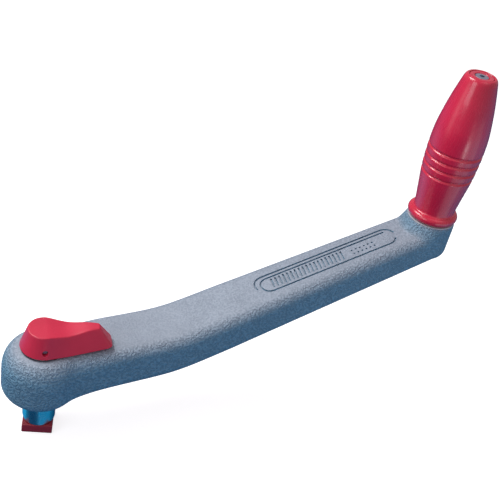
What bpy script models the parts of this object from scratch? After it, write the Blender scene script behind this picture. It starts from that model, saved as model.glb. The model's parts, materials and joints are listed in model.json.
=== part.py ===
"""Lock-in winch handle, 254 mm between the drive axis and the grip axis.

A moulded arm carries a metal drive at one end and a free-spinning grip at the other.
A sprung lever on the hub turns a spindle through the drive, and the spindle turns a
locking plate below it. The origin is on the drive axis, SHOULDER_Z below the shoulder
that rests on the winch. +Z is up along the drive axis and +X runs along the arm.
"""
import math

import bmesh
import bpy
from mathutils import Matrix, Vector

# Every length below is in millimetres; meshes are written in metres.
MM = 0.001
GAP = 0.3                      # clearance between two pieces that touch

# Arm
CENTRES = 254.0                # drive axis to grip axis
HUB_RADIUS = 21.8
HUB_TOP = 41.5
ARM_HALF_WIDTH = 18.8          # from the hub to mid-arm
ARM_END_HALF_WIDTH = 16.0      # at the grip axis
TAPER_START_X = 110.0
ARM_DEPTH = (28.0, 26.2, 24.4)  # at the hub, at the taper's start and at the grip axis
RISE_ANGLE = math.radians(15.2)
BEND_X = 76.0                  # where the level part turns into the rising part
BEND_SOFTNESS = 6.0
TOP_EDGE_RADIUS = 7.6
BOTTOM_EDGE_RADIUS = 7.1
SHOULDER_RADIUS = 12.0         # flat ring round the drive
SHOULDER_Z = 3.4
# Outside of the hub below the arm, as (radius, height)
HUB_FLARE = ((21.4, 13.6), (20.6, 11.7), (16.0, 7.4), (12.4, 4.0))
END_BOSS_RADIUS = 15.6
END_BOSS_TOP = 92.0
NUT_POCKET = (60.0, 76.0)      # cut up into the arm's end, closed by the plug
NUT_POCKET_RADIUS = 9.3
AXLE_HOLE_RADIUS = 4.6
INSERT_SEAT = 79.0
INSERT_SEAT_RADIUS = 8.3

# Buoyancy chamber in the arm
CHAMBER_X = (38.0, 224.0)
CHAMBER_WALL = 9.2
CHAMBER_ROOF = 4.0
COVER_THICKNESS = 2.4
COVER_LEDGE = 1.8
GASKET_THICKNESS = 0.8

# Drive and hub stack
DRIVE_FLATS = 17.46            # 11/16 inch across flats
DRIVE_CORNER_RADIUS = 9.3
DRIVE_END = -11.5
DRIVE_END_CHAMFER = 1.2
DRIVE_NECK_RADIUS = 9.4
DRIVE_NECK_START = 1.6
DRIVE_HEAD_FLATS = 22.0
DRIVE_HEAD = (8.3, 20.0)
HUB_BORE_RADIUS = 12.3
KEEPER = (20.3, 25.0)
SPANNER_HOLE_RADIUS = 1.3
SPANNER_HOLE_CIRCLE = 9.3
SPANNER_HOLE_ANGLES = (96.0, 276.0)
SPINDLE_RADIUS = 4.0
SPINDLE_SQUARE = 5.4           # the end that carries the locking plate
SPINDLE_COLLAR = (35.4, 37.2)
SPINDLE_COLLAR_RADIUS = 9.0
SPINDLE_TOP = 50.4
SPINDLE_THREAD_RADIUS = 1.9
SPINDLE_THREAD_DEPTH = 9.0
BUSH_BORE_RADIUS = 4.15
LOWER_BUSH = (-10.6, -3.3)
UPPER_BUSH = (20.6, 25.3, 26.4)  # bottom, under the flange and top
BUSH_FLANGE_RADIUS = 8.2
BUSH_RADIUS = 6.0
BEARING_PLATE = (37.6, 41.2)
SEAL_RADIUS = 5.2
SEAL_SECTION_RADIUS = 0.9
SEAL_GROOVE_DEPTH = 2.3
LEVER_WASHER_RADIUS = 11.4
SPRING_WIRE_RADIUS = 0.6
SPRING_RADIUS = 7.6
SPRING_TURNS = 4.25

# Lock lever and plate
LEVER_REST_ANGLE = math.radians(-13.0)
LEVER_BASE = 42.6
LEVER_BASE_RADIUS = 12.75
LEVER_TOP_RADIUS = 8.9
LEVER_LENGTH = 37.0
LEVER_TOP_LENGTH = 29.4
LEVER_HEIGHT = 12.4
LEVER_PIN_Z = 46.6
LEVER_PIN_RADIUS = 1.5
LEVER_SOCKET_TOP = 51.0
LEVER_PIN_HALF_LENGTH = 10.4
PLATE = (-17.8, -11.8)
PLATE_FLATS = 17.2
PLATE_CORNER_RADIUS = 12.0
LOCK_ANGLE = math.radians(22.5)  # from the plate's corners to the drive's when locked
PLATE_RECESS_RADIUS = 4.4
PLATE_RECESS_DEPTH = 1.9
PLATE_SCREW_HEAD_RADIUS = 4.0
PLATE_SCREW_RADIUS = 1.6
PLATE_SCREW_HEXAGON = 2.5

# Grip
GRIP_BASE = 93.1
GRIP_TOP = 192.0
GRIP_BORE_RADIUS = 6.4
BUSH_SEAT_RADIUS = 7.2
BUSH_SEATS = (107.0, 172.0)    # top of the lower one and bottom of the upper one
CAP_SEAT = 188.0
FLANGE_MIDDLE = (13.3, 96.1)   # centre of the flange's rounded edge: radius and height
FLANGE_EDGE_RADIUS = 2.95
FLANGE_FOOT_RADIUS = 14.2
# Outside of the barrel above the flange, as (height, radius)
GRIP_SHAPE = ((99.6, 13.2), (105.0, 13.7), (115.0, 15.05), (126.0, 16.5), (136.0, 17.15),
              (146.0, 17.3), (156.0, 16.75), (166.0, 15.35), (175.0, 13.75), (183.0, 12.0),
              (188.4, 10.7))
GRIP_RIM = ((10.1, 190.4), (9.2, 191.6), (8.4, 192.0))  # (radius, height) up to the top
GROOVE_HEIGHTS = (126.6, 132.3, 138.0, 143.7)
GROOVE_DEPTH = 1.0
GROOVE_HALF_WIDTH = 1.1
CAP_RADIUS = 7.4
GRIP_BUSH_RADIUS = 6.9
GRIP_UPPER_BUSH = (172.4, 182.4)
GRIP_LOWER_BUSH = (93.5, 106.6)
THRUST_WASHER_RADII = (6.0, 15.5)
AXLE_RADIUS = 4.0
AXLE = (66.9, 183.0)
AXLE_THREAD_RADIUS = 1.9
AXLE_THREAD_DEPTH = 10.0
SCREW_HEAD_RADIUS = 4.2
SCREW_RADIUS = 1.6
SCREW_HEAD_HEIGHT = 7.4
SCREW_HEXAGON = 3.0
RETAINING_WASHER_RADIUS = 6.6
INSERT = (79.3, 91.8)
INSERT_RADIUS = 8.0
NUT = (69.0, 74.3)
NUT_FLATS = 13.0
NUT_WASHER = (74.6, 75.7)
NUT_WASHER_RADIUS = 7.6
END_PLUG = (65.3, 66.6)
END_PLUG_RADIUS = 9.0


def clear_scene():
    for item in list(bpy.data.objects):
        bpy.data.objects.remove(item, do_unlink=True)


def material(name, colour, roughness, metallic=0.0):
    made = bpy.data.materials.new(name)
    made.use_nodes = True
    shader = made.node_tree.nodes["Principled BSDF"]
    shader.inputs["Base Color"].default_value = (*colour, 1.0)
    shader.inputs["Roughness"].default_value = roughness
    shader.inputs["Metallic"].default_value = metallic
    made.diffuse_color = (*colour, 1.0)
    return made


def add_object(name, mesh_maker, finish, parent=None):
    """Writes a bmesh that was made in millimetres as an object in metres."""
    bmesh.ops.recalc_face_normals(mesh_maker, faces=mesh_maker.faces)
    bmesh.ops.scale(mesh_maker, vec=(MM, MM, MM), verts=mesh_maker.verts)
    mesh = bpy.data.meshes.new(name)
    mesh_maker.to_mesh(mesh)
    mesh_maker.free()
    mesh.shade_smooth()
    mesh.set_sharp_from_angle(angle=math.radians(35))
    thing = bpy.data.objects.new(name, mesh)
    bpy.context.scene.collection.objects.link(thing)
    if finish is not None:
        mesh.materials.append(finish)
    if parent is not None:
        thing.parent = parent
    return thing


def pivot(name, x, y, z, turn=0.0):
    empty = bpy.data.objects.new(name, None)
    bpy.context.scene.collection.objects.link(empty)
    empty.location = (x * MM, y * MM, z * MM)
    empty.rotation_euler = (0.0, 0.0, turn)
    return empty


def boolean(target, tool, operation="DIFFERENCE"):
    """Cuts or joins with a tool, which is hidden and stays out of the model."""
    change = target.modifiers.new(tool.name, "BOOLEAN")
    change.object = tool
    change.operation = operation
    change.solver = "EXACT"
    tool.hide_render = True
    tool.display_type = "WIRE"


# --- Basic solids -----------------------------------------------------------

def ring_faces(maker, lower, upper):
    """Joins two rings; either one may be a single vertex at a pole."""
    count = max(len(lower), len(upper))
    for i in range(count):
        j = (i + 1) % count
        corners = [lower[i % len(lower)], lower[j % len(lower)]]
        corners += [upper[j % len(upper)], upper[i % len(upper)]]
        unique = list(dict.fromkeys(corners))
        if len(unique) > 2:
            maker.faces.new(unique)


def turned(profile, segments=32, closed=False):
    """Turns (radius, height) points about Z. A closed profile makes a tube."""
    maker = bmesh.new()
    rings = []
    for radius, height in profile:
        if radius < 1e-6:
            rings.append([maker.verts.new((0.0, 0.0, height))])
            continue
        ring = []
        for i in range(segments):
            angle = 2 * math.pi * i / segments
            point = (radius * math.cos(angle), radius * math.sin(angle), height)
            ring.append(maker.verts.new(point))
        rings.append(ring)
    for lower, upper in zip(rings, rings[1:]):
        ring_faces(maker, lower, upper)
    if closed:
        ring_faces(maker, rings[-1], rings[0])
    return maker


def tube(inner, outer, bottom, top, segments=32, edge=0.0):
    """A plain ring, with its outer edges chamfered by edge."""
    profile = [(inner, bottom), (outer - edge, bottom)]
    if edge:
        profile += [(outer, bottom + edge), (outer, top - edge)]
    profile += [(outer - edge, top), (inner, top)]
    if not edge:
        profile = [(inner, bottom), (outer, bottom), (outer, top), (inner, top)]
    return turned(profile, segments, closed=True)


def rod(radius, bottom, top, segments=32, edge=0.0):
    profile = [(0.0, bottom), (radius - edge, bottom)]
    if edge:
        profile += [(radius, bottom + edge), (radius, top - edge)]
        profile += [(radius - edge, top), (0.0, top)]
    else:
        profile += [(radius, top), (0.0, top)]
    return turned(profile, segments)


def prism(outline, bottom, top):
    """Extrudes a flat outline of (x, y) points."""
    maker = bmesh.new()
    base = [maker.verts.new((x, y, bottom)) for x, y in outline]
    lid = [maker.verts.new((x, y, top)) for x, y in outline]
    ring_faces(maker, base, lid)
    maker.faces.new(base)
    maker.faces.new(lid)
    return maker


def polygon(flats, sides, turn=0.0):
    """A regular polygon by its size across flats, with a flat facing +X."""
    radius = flats / 2 / math.cos(math.pi / sides)
    step = 2 * math.pi / sides
    angles = [turn + step * (i + 0.5) for i in range(sides)]
    return [(radius * math.cos(a), radius * math.sin(a)) for a in angles]


def square_with_round_corners(flats, corner_radius, steps=4):
    """A square whose corners are turned down to a circle, flats facing X and Y."""
    start = math.acos(flats / 2 / corner_radius)
    outline = []
    for quarter in range(4):
        for i in range(steps + 1):
            angle = start + (math.pi / 2 - 2 * start) * i / steps
            angle += quarter * math.pi / 2
            outline.append((corner_radius * math.cos(angle), corner_radius * math.sin(angle)))
    return outline


def rounding(distance, radius):
    """How far a rounded edge falls short at a distance in from the side wall."""
    if distance >= radius:
        return 0.0
    return radius - math.sqrt(radius ** 2 - (radius - distance) ** 2)


# --- Arm --------------------------------------------------------------------

def arm_top(x):
    grown = BEND_SOFTNESS * math.log1p(math.exp(min((x - BEND_X) / BEND_SOFTNESS, 60.0)))
    return HUB_TOP + math.tan(RISE_ANGLE) * grown


def arm_depth(x):
    hub, middle, end = ARM_DEPTH
    if x < TAPER_START_X:
        return hub + (middle - hub) * max(x, 0.0) / TAPER_START_X
    return middle + (end - middle) * (x - TAPER_START_X) / (CENTRES - TAPER_START_X)


def arm_bottom(x):
    return arm_top(x) - arm_depth(x)


def arm_half_width(x):
    """The hub's circle runs into the arm's straight sides with a small fillet."""
    narrow = ARM_END_HALF_WIDTH - ARM_HALF_WIDTH
    share = max(x - TAPER_START_X, 0.0) / (CENTRES - TAPER_START_X)
    side = ARM_HALF_WIDTH + narrow * share
    circle = math.sqrt(max(HUB_RADIUS ** 2 - x ** 2, 0.0))
    softness = 0.7
    larger = max(side, circle)
    return larger + softness * math.log1p(math.exp(-abs(side - circle) / softness))


def arm_stations():
    """Spine points, each with the direction its half section faces."""
    stations = []
    hub_fan = 14
    for i in range(hub_fan):
        angle = math.pi - math.pi / 2 * i / hub_fan
        stations.append((0.0, HUB_RADIUS, angle))
    along = [0.0, 6.0, 11.0, 16.0, 26.0, 40.0, 56.0, 64.0, 70.0, 76.0, 82.0, 88.0, 96.0]
    along += [TAPER_START_X, 158.0, 206.0, 238.0]
    for x in along:
        width = HUB_RADIUS if x == 0.0 else arm_half_width(x)
        stations.append((x, width, math.pi / 2))
    end_fan = 12
    for i in range(end_fan + 1):
        angle = math.pi / 2 - math.pi / 2 * i / end_fan
        stations.append((CENTRES, ARM_END_HALF_WIDTH, angle))
    return stations


def arm_section(x, width):
    """(distance from the spine, height) from the top centre round to the bottom centre."""
    top, bottom = arm_top(x), arm_bottom(x)
    arc_steps = 4
    section = [(0.0, top)]
    for i in range(arc_steps + 1):
        turn = math.pi / 2 * (1 - i / arc_steps)
        out = width - TOP_EDGE_RADIUS * (1 - math.cos(turn))
        section.append((out, top - TOP_EDGE_RADIUS * (1 - math.sin(turn))))
    for i in range(arc_steps + 1):
        turn = math.pi / 2 * i / arc_steps
        out = width - BOTTOM_EDGE_RADIUS * (1 - math.cos(turn))
        section.append((out, bottom + BOTTOM_EDGE_RADIUS * (1 - math.sin(turn))))
    section.append((0.0, bottom))
    return section


def arm_body():
    """Both halves of the arm, sewn along the spine."""
    maker = bmesh.new()
    for side in (1, -1):
        columns = []
        for x, width, angle in arm_stations():
            column = []
            for out, height in arm_section(x, width):
                px = x + out * math.cos(angle)
                py = side * out * math.sin(angle)
                column.append(maker.verts.new((px, py, height)))
            columns.append(column)
        for near, far in zip(columns, columns[1:]):
            for k in range(len(near) - 1):
                maker.faces.new((near[k], far[k], far[k + 1], near[k + 1]))
    bmesh.ops.remove_doubles(maker, verts=maker.verts, dist=0.001)
    return maker


def strip(x_range, half_width, low, high, end_steps=5):
    """A bar along the arm with half-round ends, between two height functions."""
    start, stop = x_range
    stations = []
    for i in range(1, end_steps + 1):
        turn = math.pi / 2 * i / end_steps
        stations.append((start, turn))
    inner = [56.0, 66.0, 76.0, 86.0, 96.0, 130.0, 180.0]
    stations += [(x, None) for x in inner]
    stations += [(stop, math.pi - turn) for _, turn in stations[end_steps - 1::-1]]
    maker = bmesh.new()
    columns = []
    for x, turn in stations:
        width = half_width(x)
        if turn is not None:
            toward = 1 if x == start else -1
            reach = half_width(x)
            width = reach * math.sin(turn)
            x = x + toward * reach * (1 - abs(math.cos(turn)))
        columns.append([maker.verts.new(p) for p in (
            (x, -width, low(x)), (x, width, low(x)), (x, width, high(x)), (x, -width, high(x)))])
    for near, far in zip(columns, columns[1:]):
        for k in range(4):
            j = (k + 1) % 4
            maker.faces.new((near[k], far[k], far[j], near[j]))
    maker.faces.new(columns[0])
    maker.faces.new(columns[-1])
    return maker


def chamber_half_width(x):
    return arm_half_width(x) - CHAMBER_WALL


def build_arm(finishes):
    arm = add_object("arm_shell", arm_body(), finishes["arm"])
    boss_top = HUB_TOP - ARM_DEPTH[0] / 2
    boss_profile = [(0.0, boss_top), (HUB_FLARE[0][0], boss_top), *HUB_FLARE]
    boss_profile += [(SHOULDER_RADIUS, SHOULDER_Z), (0.0, SHOULDER_Z)]
    boss = add_object("tool_hub_boss", turned(boss_profile, 56), None)
    boolean(arm, boss, "UNION")
    end = rod(END_BOSS_RADIUS, arm_top(CENTRES) - ARM_DEPTH[2] / 2, END_BOSS_TOP, 48, 0.8)
    bmesh.ops.translate(end, vec=(CENTRES, 0.0, 0.0), verts=end.verts)
    boolean(arm, add_object("tool_end_boss", end, None), "UNION")

    chamber = strip(CHAMBER_X, chamber_half_width,
                    lambda x: arm_bottom(x) - 1.0, lambda x: arm_top(x) - CHAMBER_ROOF)
    boolean(arm, add_object("tool_chamber", chamber, None))
    rebate_x = (CHAMBER_X[0] - COVER_LEDGE, CHAMBER_X[1] + COVER_LEDGE)
    rebate_depth = COVER_THICKNESS + GASKET_THICKNESS + 2 * GAP
    rebate = strip(rebate_x, lambda x: chamber_half_width(x) + COVER_LEDGE,
                   lambda x: arm_bottom(x) - 1.0, lambda x: arm_bottom(x) + rebate_depth)
    boolean(arm, add_object("tool_rebate", rebate, None))

    neck = rod(DRIVE_NECK_RADIUS + GAP, SHOULDER_Z - 1.0, DRIVE_HEAD[1], 32)
    boolean(arm, add_object("tool_neck_bore", neck, None))
    seat = prism(polygon(DRIVE_HEAD_FLATS + 2 * GAP, 8), DRIVE_HEAD[0] - GAP, KEEPER[1] - 1.0)
    boolean(arm, add_object("tool_head_seat", seat, None))
    bore = rod(HUB_BORE_RADIUS, DRIVE_HEAD[1] + GAP / 2, HUB_TOP + 2.0, 40)
    boolean(arm, add_object("tool_hub_bore", bore, None))

    open_end = END_BOSS_TOP + 2.0
    pocket_profile = [(0.0, NUT_POCKET[0])]
    pocket_profile += [(NUT_POCKET_RADIUS, height) for height in NUT_POCKET]
    pocket_profile += [(AXLE_HOLE_RADIUS, NUT_POCKET[1]), (AXLE_HOLE_RADIUS, INSERT_SEAT)]
    pocket_profile += [(INSERT_SEAT_RADIUS, INSERT_SEAT), (INSERT_SEAT_RADIUS, open_end)]
    pocket_profile += [(0.0, open_end)]
    pocket = turned(pocket_profile, 32)
    bmesh.ops.translate(pocket, vec=(CENTRES, 0.0, 0.0), verts=pocket.verts)
    boolean(arm, add_object("tool_axle_pocket", pocket, None))


def build_chamber_parts(finishes):
    cover = strip((CHAMBER_X[0] - COVER_LEDGE + GAP, CHAMBER_X[1] + COVER_LEDGE - GAP),
                  lambda x: chamber_half_width(x) + COVER_LEDGE - GAP,
                  arm_bottom, lambda x: arm_bottom(x) + COVER_THICKNESS)
    add_object("arm_underside_cover", cover, finishes["arm_dark"])

    gasket_low = COVER_THICKNESS + GAP
    gasket_high = gasket_low + GASKET_THICKNESS
    gasket = strip((CHAMBER_X[0] - COVER_LEDGE + GAP, CHAMBER_X[1] + COVER_LEDGE - GAP),
                   lambda x: chamber_half_width(x) + COVER_LEDGE - GAP,
                   lambda x: arm_bottom(x) + gasket_low, lambda x: arm_bottom(x) + gasket_high)
    ring = add_object("arm_cover_gasket", gasket, finishes["rubber"])
    middle = strip((CHAMBER_X[0] + GAP, CHAMBER_X[1] - GAP), lambda x: chamber_half_width(x) - GAP,
                   lambda x: arm_bottom(x) + gasket_low - 1.0,
                   lambda x: arm_bottom(x) + gasket_high + 1.0)
    boolean(ring, add_object("tool_gasket_middle", middle, None))

    core = strip((CHAMBER_X[0] + 2 * GAP, CHAMBER_X[1] - 2 * GAP),
                 lambda x: chamber_half_width(x) - 2 * GAP,
                 lambda x: arm_bottom(x) + gasket_high + 2 * GAP,
                 lambda x: arm_top(x) - CHAMBER_ROOF - 2 * GAP)
    add_object("buoyancy_core", core, finishes["foam"])


# --- Drive and hub stack ----------------------------------------------------

def square_shank():
    """The square that turns the winch, chamfered at its lower end."""
    outline = square_with_round_corners(DRIVE_FLATS, DRIVE_CORNER_RADIUS)
    end_scale = 1 - DRIVE_END_CHAMFER / DRIVE_CORNER_RADIUS / 2
    levels = ((DRIVE_END, end_scale), (DRIVE_END + DRIVE_END_CHAMFER, 1.0),
              (DRIVE_NECK_START + 2.0, 1.0))
    maker = bmesh.new()
    rings = []
    for height, scale in levels:
        rings.append([maker.verts.new((x * scale, y * scale, height)) for x, y in outline])
    for lower, upper in zip(rings, rings[1:]):
        ring_faces(maker, lower, upper)
    maker.faces.new(rings[0])
    maker.faces.new(rings[-1])
    return maker


def build_drive(finishes):
    drive = add_object("drive_shank", square_shank(), finishes["steel"])
    collar = rod(DRIVE_NECK_RADIUS, DRIVE_NECK_START, DRIVE_HEAD[0] + 1.0, 32)
    boolean(drive, add_object("tool_drive_collar", collar, None), "UNION")
    head = prism(polygon(DRIVE_HEAD_FLATS, 8), *DRIVE_HEAD)
    boolean(drive, add_object("tool_drive_head", head, None), "UNION")
    wide, narrow = BUSH_RADIUS + GAP, SPINDLE_RADIUS + GAP
    seat_top = LOWER_BUSH[1] + GAP
    bore_profile = [(0.0, DRIVE_END - 1.0), (wide, DRIVE_END - 1.0), (wide, seat_top)]
    bore_profile += [(narrow, seat_top), (narrow, DRIVE_HEAD[1] + 1.0)]
    bore_profile += [(0.0, DRIVE_HEAD[1] + 1.0)]
    boolean(drive, add_object("tool_drive_bore", turned(bore_profile, 24), None))


def build_hub_stack(finishes):
    keeper_ring = tube(BUSH_RADIUS + GAP, HUB_BORE_RADIUS - GAP, *KEEPER, 32, 0.4)
    keeper = add_object("drive_keeper_ring", keeper_ring, finishes["brass"])
    for index, degrees in enumerate(SPANNER_HOLE_ANGLES):
        angle = math.radians(degrees)
        hole = rod(SPANNER_HOLE_RADIUS, KEEPER[0] - 1.0, KEEPER[1] + 1.0, 12)
        place = Vector((math.cos(angle), math.sin(angle), 0.0)) * SPANNER_HOLE_CIRCLE
        bmesh.ops.translate(hole, vec=place, verts=hole.verts)
        boolean(keeper, add_object(f"tool_spanner_hole_{index + 1}", hole, None))

    lower_bush = tube(BUSH_BORE_RADIUS, BUSH_RADIUS, *LOWER_BUSH, 24)
    add_object("spindle_lower_bush", lower_bush, finishes["nylon"])
    bottom, shelf, top = UPPER_BUSH
    flange = [(BUSH_BORE_RADIUS, bottom), (BUSH_RADIUS, bottom), (BUSH_RADIUS, shelf)]
    flange += [(BUSH_FLANGE_RADIUS, shelf), (BUSH_FLANGE_RADIUS, top), (BUSH_BORE_RADIUS, top)]
    add_object("spindle_upper_bush", turned(flange, 24, closed=True), finishes["nylon"])
    add_object("lock_return_spring", return_spring(), finishes["steel"])

    plate = tube(SPINDLE_RADIUS + GAP, HUB_BORE_RADIUS - GAP, *BEARING_PLATE, 32, 0.4)
    bearing = add_object("hub_bearing_plate", plate, finishes["arm_dark"])
    groove_outer = SEAL_RADIUS + SEAL_SECTION_RADIUS + GAP
    seal_groove = tube(SPINDLE_RADIUS / 2, groove_outer, BEARING_PLATE[1] - SEAL_GROOVE_DEPTH,
                       BEARING_PLATE[1] + 1.0, 24)
    boolean(bearing, add_object("tool_seal_groove", seal_groove, None))
    seal_height = BEARING_PLATE[1] - SEAL_GROOVE_DEPTH / 2
    seal = torus(SEAL_RADIUS, SEAL_SECTION_RADIUS, seal_height)
    add_object("spindle_seal_ring", seal, finishes["rubber"])
    washer = tube(SPINDLE_RADIUS + GAP, LEVER_WASHER_RADIUS, HUB_TOP + 0.1, LEVER_BASE - GAP, 32)
    add_object("lever_washer", washer, finishes["nylon"])


def torus(major, minor, height, sides=6, segments=24):
    profile = []
    for i in range(sides):
        angle = 2 * math.pi * i / sides
        profile.append((major + minor * math.cos(angle), height + minor * math.sin(angle)))
    return turned(profile, segments, closed=True)


def return_spring(steps_per_turn=12, sides=6):
    """A torsion coil round the spindle, between the upper bush and the spindle's collar."""
    low = KEEPER[1] + 2.4
    high = SPINDLE_COLLAR[0] - 1.4
    count = int(SPRING_TURNS * steps_per_turn)
    maker = bmesh.new()
    rings = []
    for i in range(count + 1):
        angle = 2 * math.pi * i / steps_per_turn
        out = Vector((math.cos(angle), math.sin(angle), 0.0))
        centre = out * SPRING_RADIUS + Vector((0.0, 0.0, low + (high - low) * i / count))
        ring = []
        for k in range(sides):
            around = 2 * math.pi * k / sides
            offset = out * math.cos(around) + Vector((0.0, 0.0, math.sin(around)))
            ring.append(maker.verts.new(centre + offset * SPRING_WIRE_RADIUS))
        rings.append(ring)
    for near, far in zip(rings, rings[1:]):
        ring_faces(maker, near, far)
    maker.faces.new(rings[0])
    maker.faces.new(rings[-1])
    return maker


# --- Lock lever, spindle and plate ------------------------------------------

def teardrop(radius, tail_half_width, length, corner, arc_steps=16, corner_steps=3):
    """Half of a teardrop outline, from -X round the hub end and along to the tail."""
    run = length - corner
    lean = math.asin((radius - tail_half_width) / run)
    half = []
    for i in range(arc_steps + 1):
        angle = math.pi - (math.pi / 2 + lean) * i / arc_steps
        half.append((radius * math.cos(angle), radius * math.sin(angle)))
    start = Vector(half[-1])
    tail = Vector((run + corner * math.sin(lean), tail_half_width))
    for i in range(1, 6):
        point = start.lerp(tail, i / 6)
        half.append((point.x, point.y))
    for i in range(corner_steps + 1):
        angle = (math.pi / 2 - lean) * (1 - i / corner_steps)
        x = run + corner * math.cos(angle)
        half.append((x, tail_half_width - corner + corner * math.sin(angle)))
    half.append((length, 0.0))
    return half


def lever_top_height(x):
    """High over the spindle, scooped for the thumb, and rising again to the tail."""
    share = min(max(x / LEVER_TOP_LENGTH, 0.0), 1.0)
    dip = 1.5 * math.sin(math.pi * min(share * 1.15, 1.0)) ** 2
    return LEVER_BASE + LEVER_HEIGHT - dip + 0.5 * share


def lever_base_height(x):
    return LEVER_BASE + 1.5 * max(x - LEVER_BASE_RADIUS, 0.0) / (LEVER_LENGTH - LEVER_BASE_RADIUS)


def lever_body():
    base = teardrop(LEVER_BASE_RADIUS, 6.6, LEVER_LENGTH, 3.2)
    top = teardrop(LEVER_TOP_RADIUS, 2.4, LEVER_TOP_LENGTH, 1.2)
    rim = teardrop(LEVER_TOP_RADIUS - 0.9, 1.6, LEVER_TOP_LENGTH - 0.9, 1.0)
    maker = bmesh.new()
    for side in (1, -1):
        columns = []
        for low, edge, inner in zip(base, top, rim):
            spine_x = min(max(inner[0], 0.0), LEVER_TOP_LENGTH - 2.6)
            points = [(spine_x, 0.0, lever_base_height(spine_x))]
            points.append((low[0], low[1], lever_base_height(low[0])))
            points.append((edge[0], edge[1], lever_top_height(edge[0]) - 0.8))
            points.append((inner[0], inner[1], lever_top_height(inner[0])))
            points.append((spine_x, 0.0, lever_top_height(spine_x)))
            columns.append([maker.verts.new((px, side * py, pz)) for px, py, pz in points])
        for near, far in zip(columns, columns[1:]):
            for k in range(4):
                maker.faces.new((near[k], far[k], far[k + 1], near[k + 1]))
    bmesh.ops.remove_doubles(maker, verts=maker.verts, dist=0.001)
    bmesh.ops.dissolve_degenerate(maker, dist=0.001, edges=maker.edges)
    return maker


def cross_rod(radius, half_length, height, segments=16):
    """A rod across the lever, along Y."""
    bar = rod(radius, -half_length, half_length, segments)
    bmesh.ops.rotate(bar, matrix=Matrix.Rotation(math.pi / 2, 3, "X"), verts=bar.verts)
    bmesh.ops.translate(bar, vec=(0.0, 0.0, height), verts=bar.verts)
    return bar


def build_lock(finishes):
    turn = pivot("lock_pivot", 0.0, 0.0, 0.0, LEVER_REST_ANGLE)
    lever = add_object("lock_lever", lever_body(), finishes["red"], turn)
    socket = rod(SPINDLE_RADIUS + GAP, LEVER_BASE - 1.0, LEVER_SOCKET_TOP, 24)
    boolean(lever, add_object("tool_lever_socket", socket, None, turn))
    hole = cross_rod(LEVER_PIN_RADIUS + GAP / 2, LEVER_LENGTH / 2, LEVER_PIN_Z)
    boolean(lever, add_object("tool_lever_pin_hole", hole, None, turn))

    pin = cross_rod(LEVER_PIN_RADIUS, LEVER_PIN_HALF_LENGTH, LEVER_PIN_Z)
    add_object("lever_cross_pin", pin, finishes["steel"], turn)

    spindle_end = PLATE[0] + PLATE_RECESS_DEPTH + GAP
    shoulder = PLATE[1] + GAP
    profile = [(0.0, shoulder), (SPINDLE_RADIUS, shoulder), (SPINDLE_RADIUS, SPINDLE_COLLAR[0])]
    profile += [(SPINDLE_COLLAR_RADIUS, height) for height in SPINDLE_COLLAR]
    profile += [(SPINDLE_RADIUS, SPINDLE_COLLAR[1]), (SPINDLE_RADIUS, SPINDLE_TOP)]
    profile += [(0.0, SPINDLE_TOP)]
    spindle = add_object("lock_spindle", turned(profile, 24), finishes["steel"], turn)
    square = prism(polygon(SPINDLE_SQUARE, 4), spindle_end, shoulder + 2.7)
    boolean(spindle, add_object("tool_spindle_square", square, None, turn), "UNION")
    thread = rod(SPINDLE_THREAD_RADIUS, spindle_end - 1.0, spindle_end + SPINDLE_THREAD_DEPTH, 16)
    boolean(spindle, add_object("tool_spindle_thread", thread, None, turn))
    pin_hole = cross_rod(LEVER_PIN_RADIUS + GAP / 2, 2 * SPINDLE_RADIUS, LEVER_PIN_Z)
    boolean(spindle, add_object("tool_spindle_pin_hole", pin_hole, None, turn))

    outline = square_with_round_corners(PLATE_FLATS, PLATE_CORNER_RADIUS, 2)
    slab = prism(outline, *PLATE)
    plate_turn = Matrix.Rotation(-LOCK_ANGLE - LEVER_REST_ANGLE, 3, "Z")
    bmesh.ops.rotate(slab, matrix=plate_turn, verts=slab.verts)
    plate = add_object("lock_plate", slab, finishes["dark_red"], turn)
    recess = rod(PLATE_RECESS_RADIUS, PLATE[0] - 1.0, PLATE[0] + PLATE_RECESS_DEPTH, 24)
    boolean(plate, add_object("tool_plate_recess", recess, None, turn))
    eye = prism(polygon(SPINDLE_SQUARE + 2 * GAP, 4), PLATE[0] + 1.0, PLATE[1] + 1.0)
    boolean(plate, add_object("tool_plate_eye", eye, None, turn))

    head_bottom = PLATE[0] + 0.2
    head_top = spindle_end - 2 * GAP
    screw_top = spindle_end + SPINDLE_THREAD_DEPTH - 1.4
    profile = [(0.0, head_bottom), (PLATE_SCREW_HEAD_RADIUS, head_bottom)]
    profile += [(PLATE_SCREW_HEAD_RADIUS, head_top), (PLATE_SCREW_RADIUS, head_top)]
    profile += [(PLATE_SCREW_RADIUS, screw_top), (0.0, screw_top)]
    screw = add_object("lock_plate_screw", turned(profile, 20), finishes["steel"], turn)
    socket_hex = prism(polygon(PLATE_SCREW_HEXAGON, 6), head_bottom - 1.0, head_bottom + 1.1)
    boolean(screw, add_object("tool_plate_screw_hex", socket_hex, None, turn))


# --- Grip -------------------------------------------------------------------

def grip_radius(height):
    """The barrel's radius above the flange: a narrow neck, a full waist, a slim top."""
    for (low, r_low), (high, r_high) in zip(GRIP_SHAPE, GRIP_SHAPE[1:]):
        if height <= high:
            return r_low + (r_high - r_low) * (height - low) / (high - low)
    return GRIP_SHAPE[-1][1]


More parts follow.
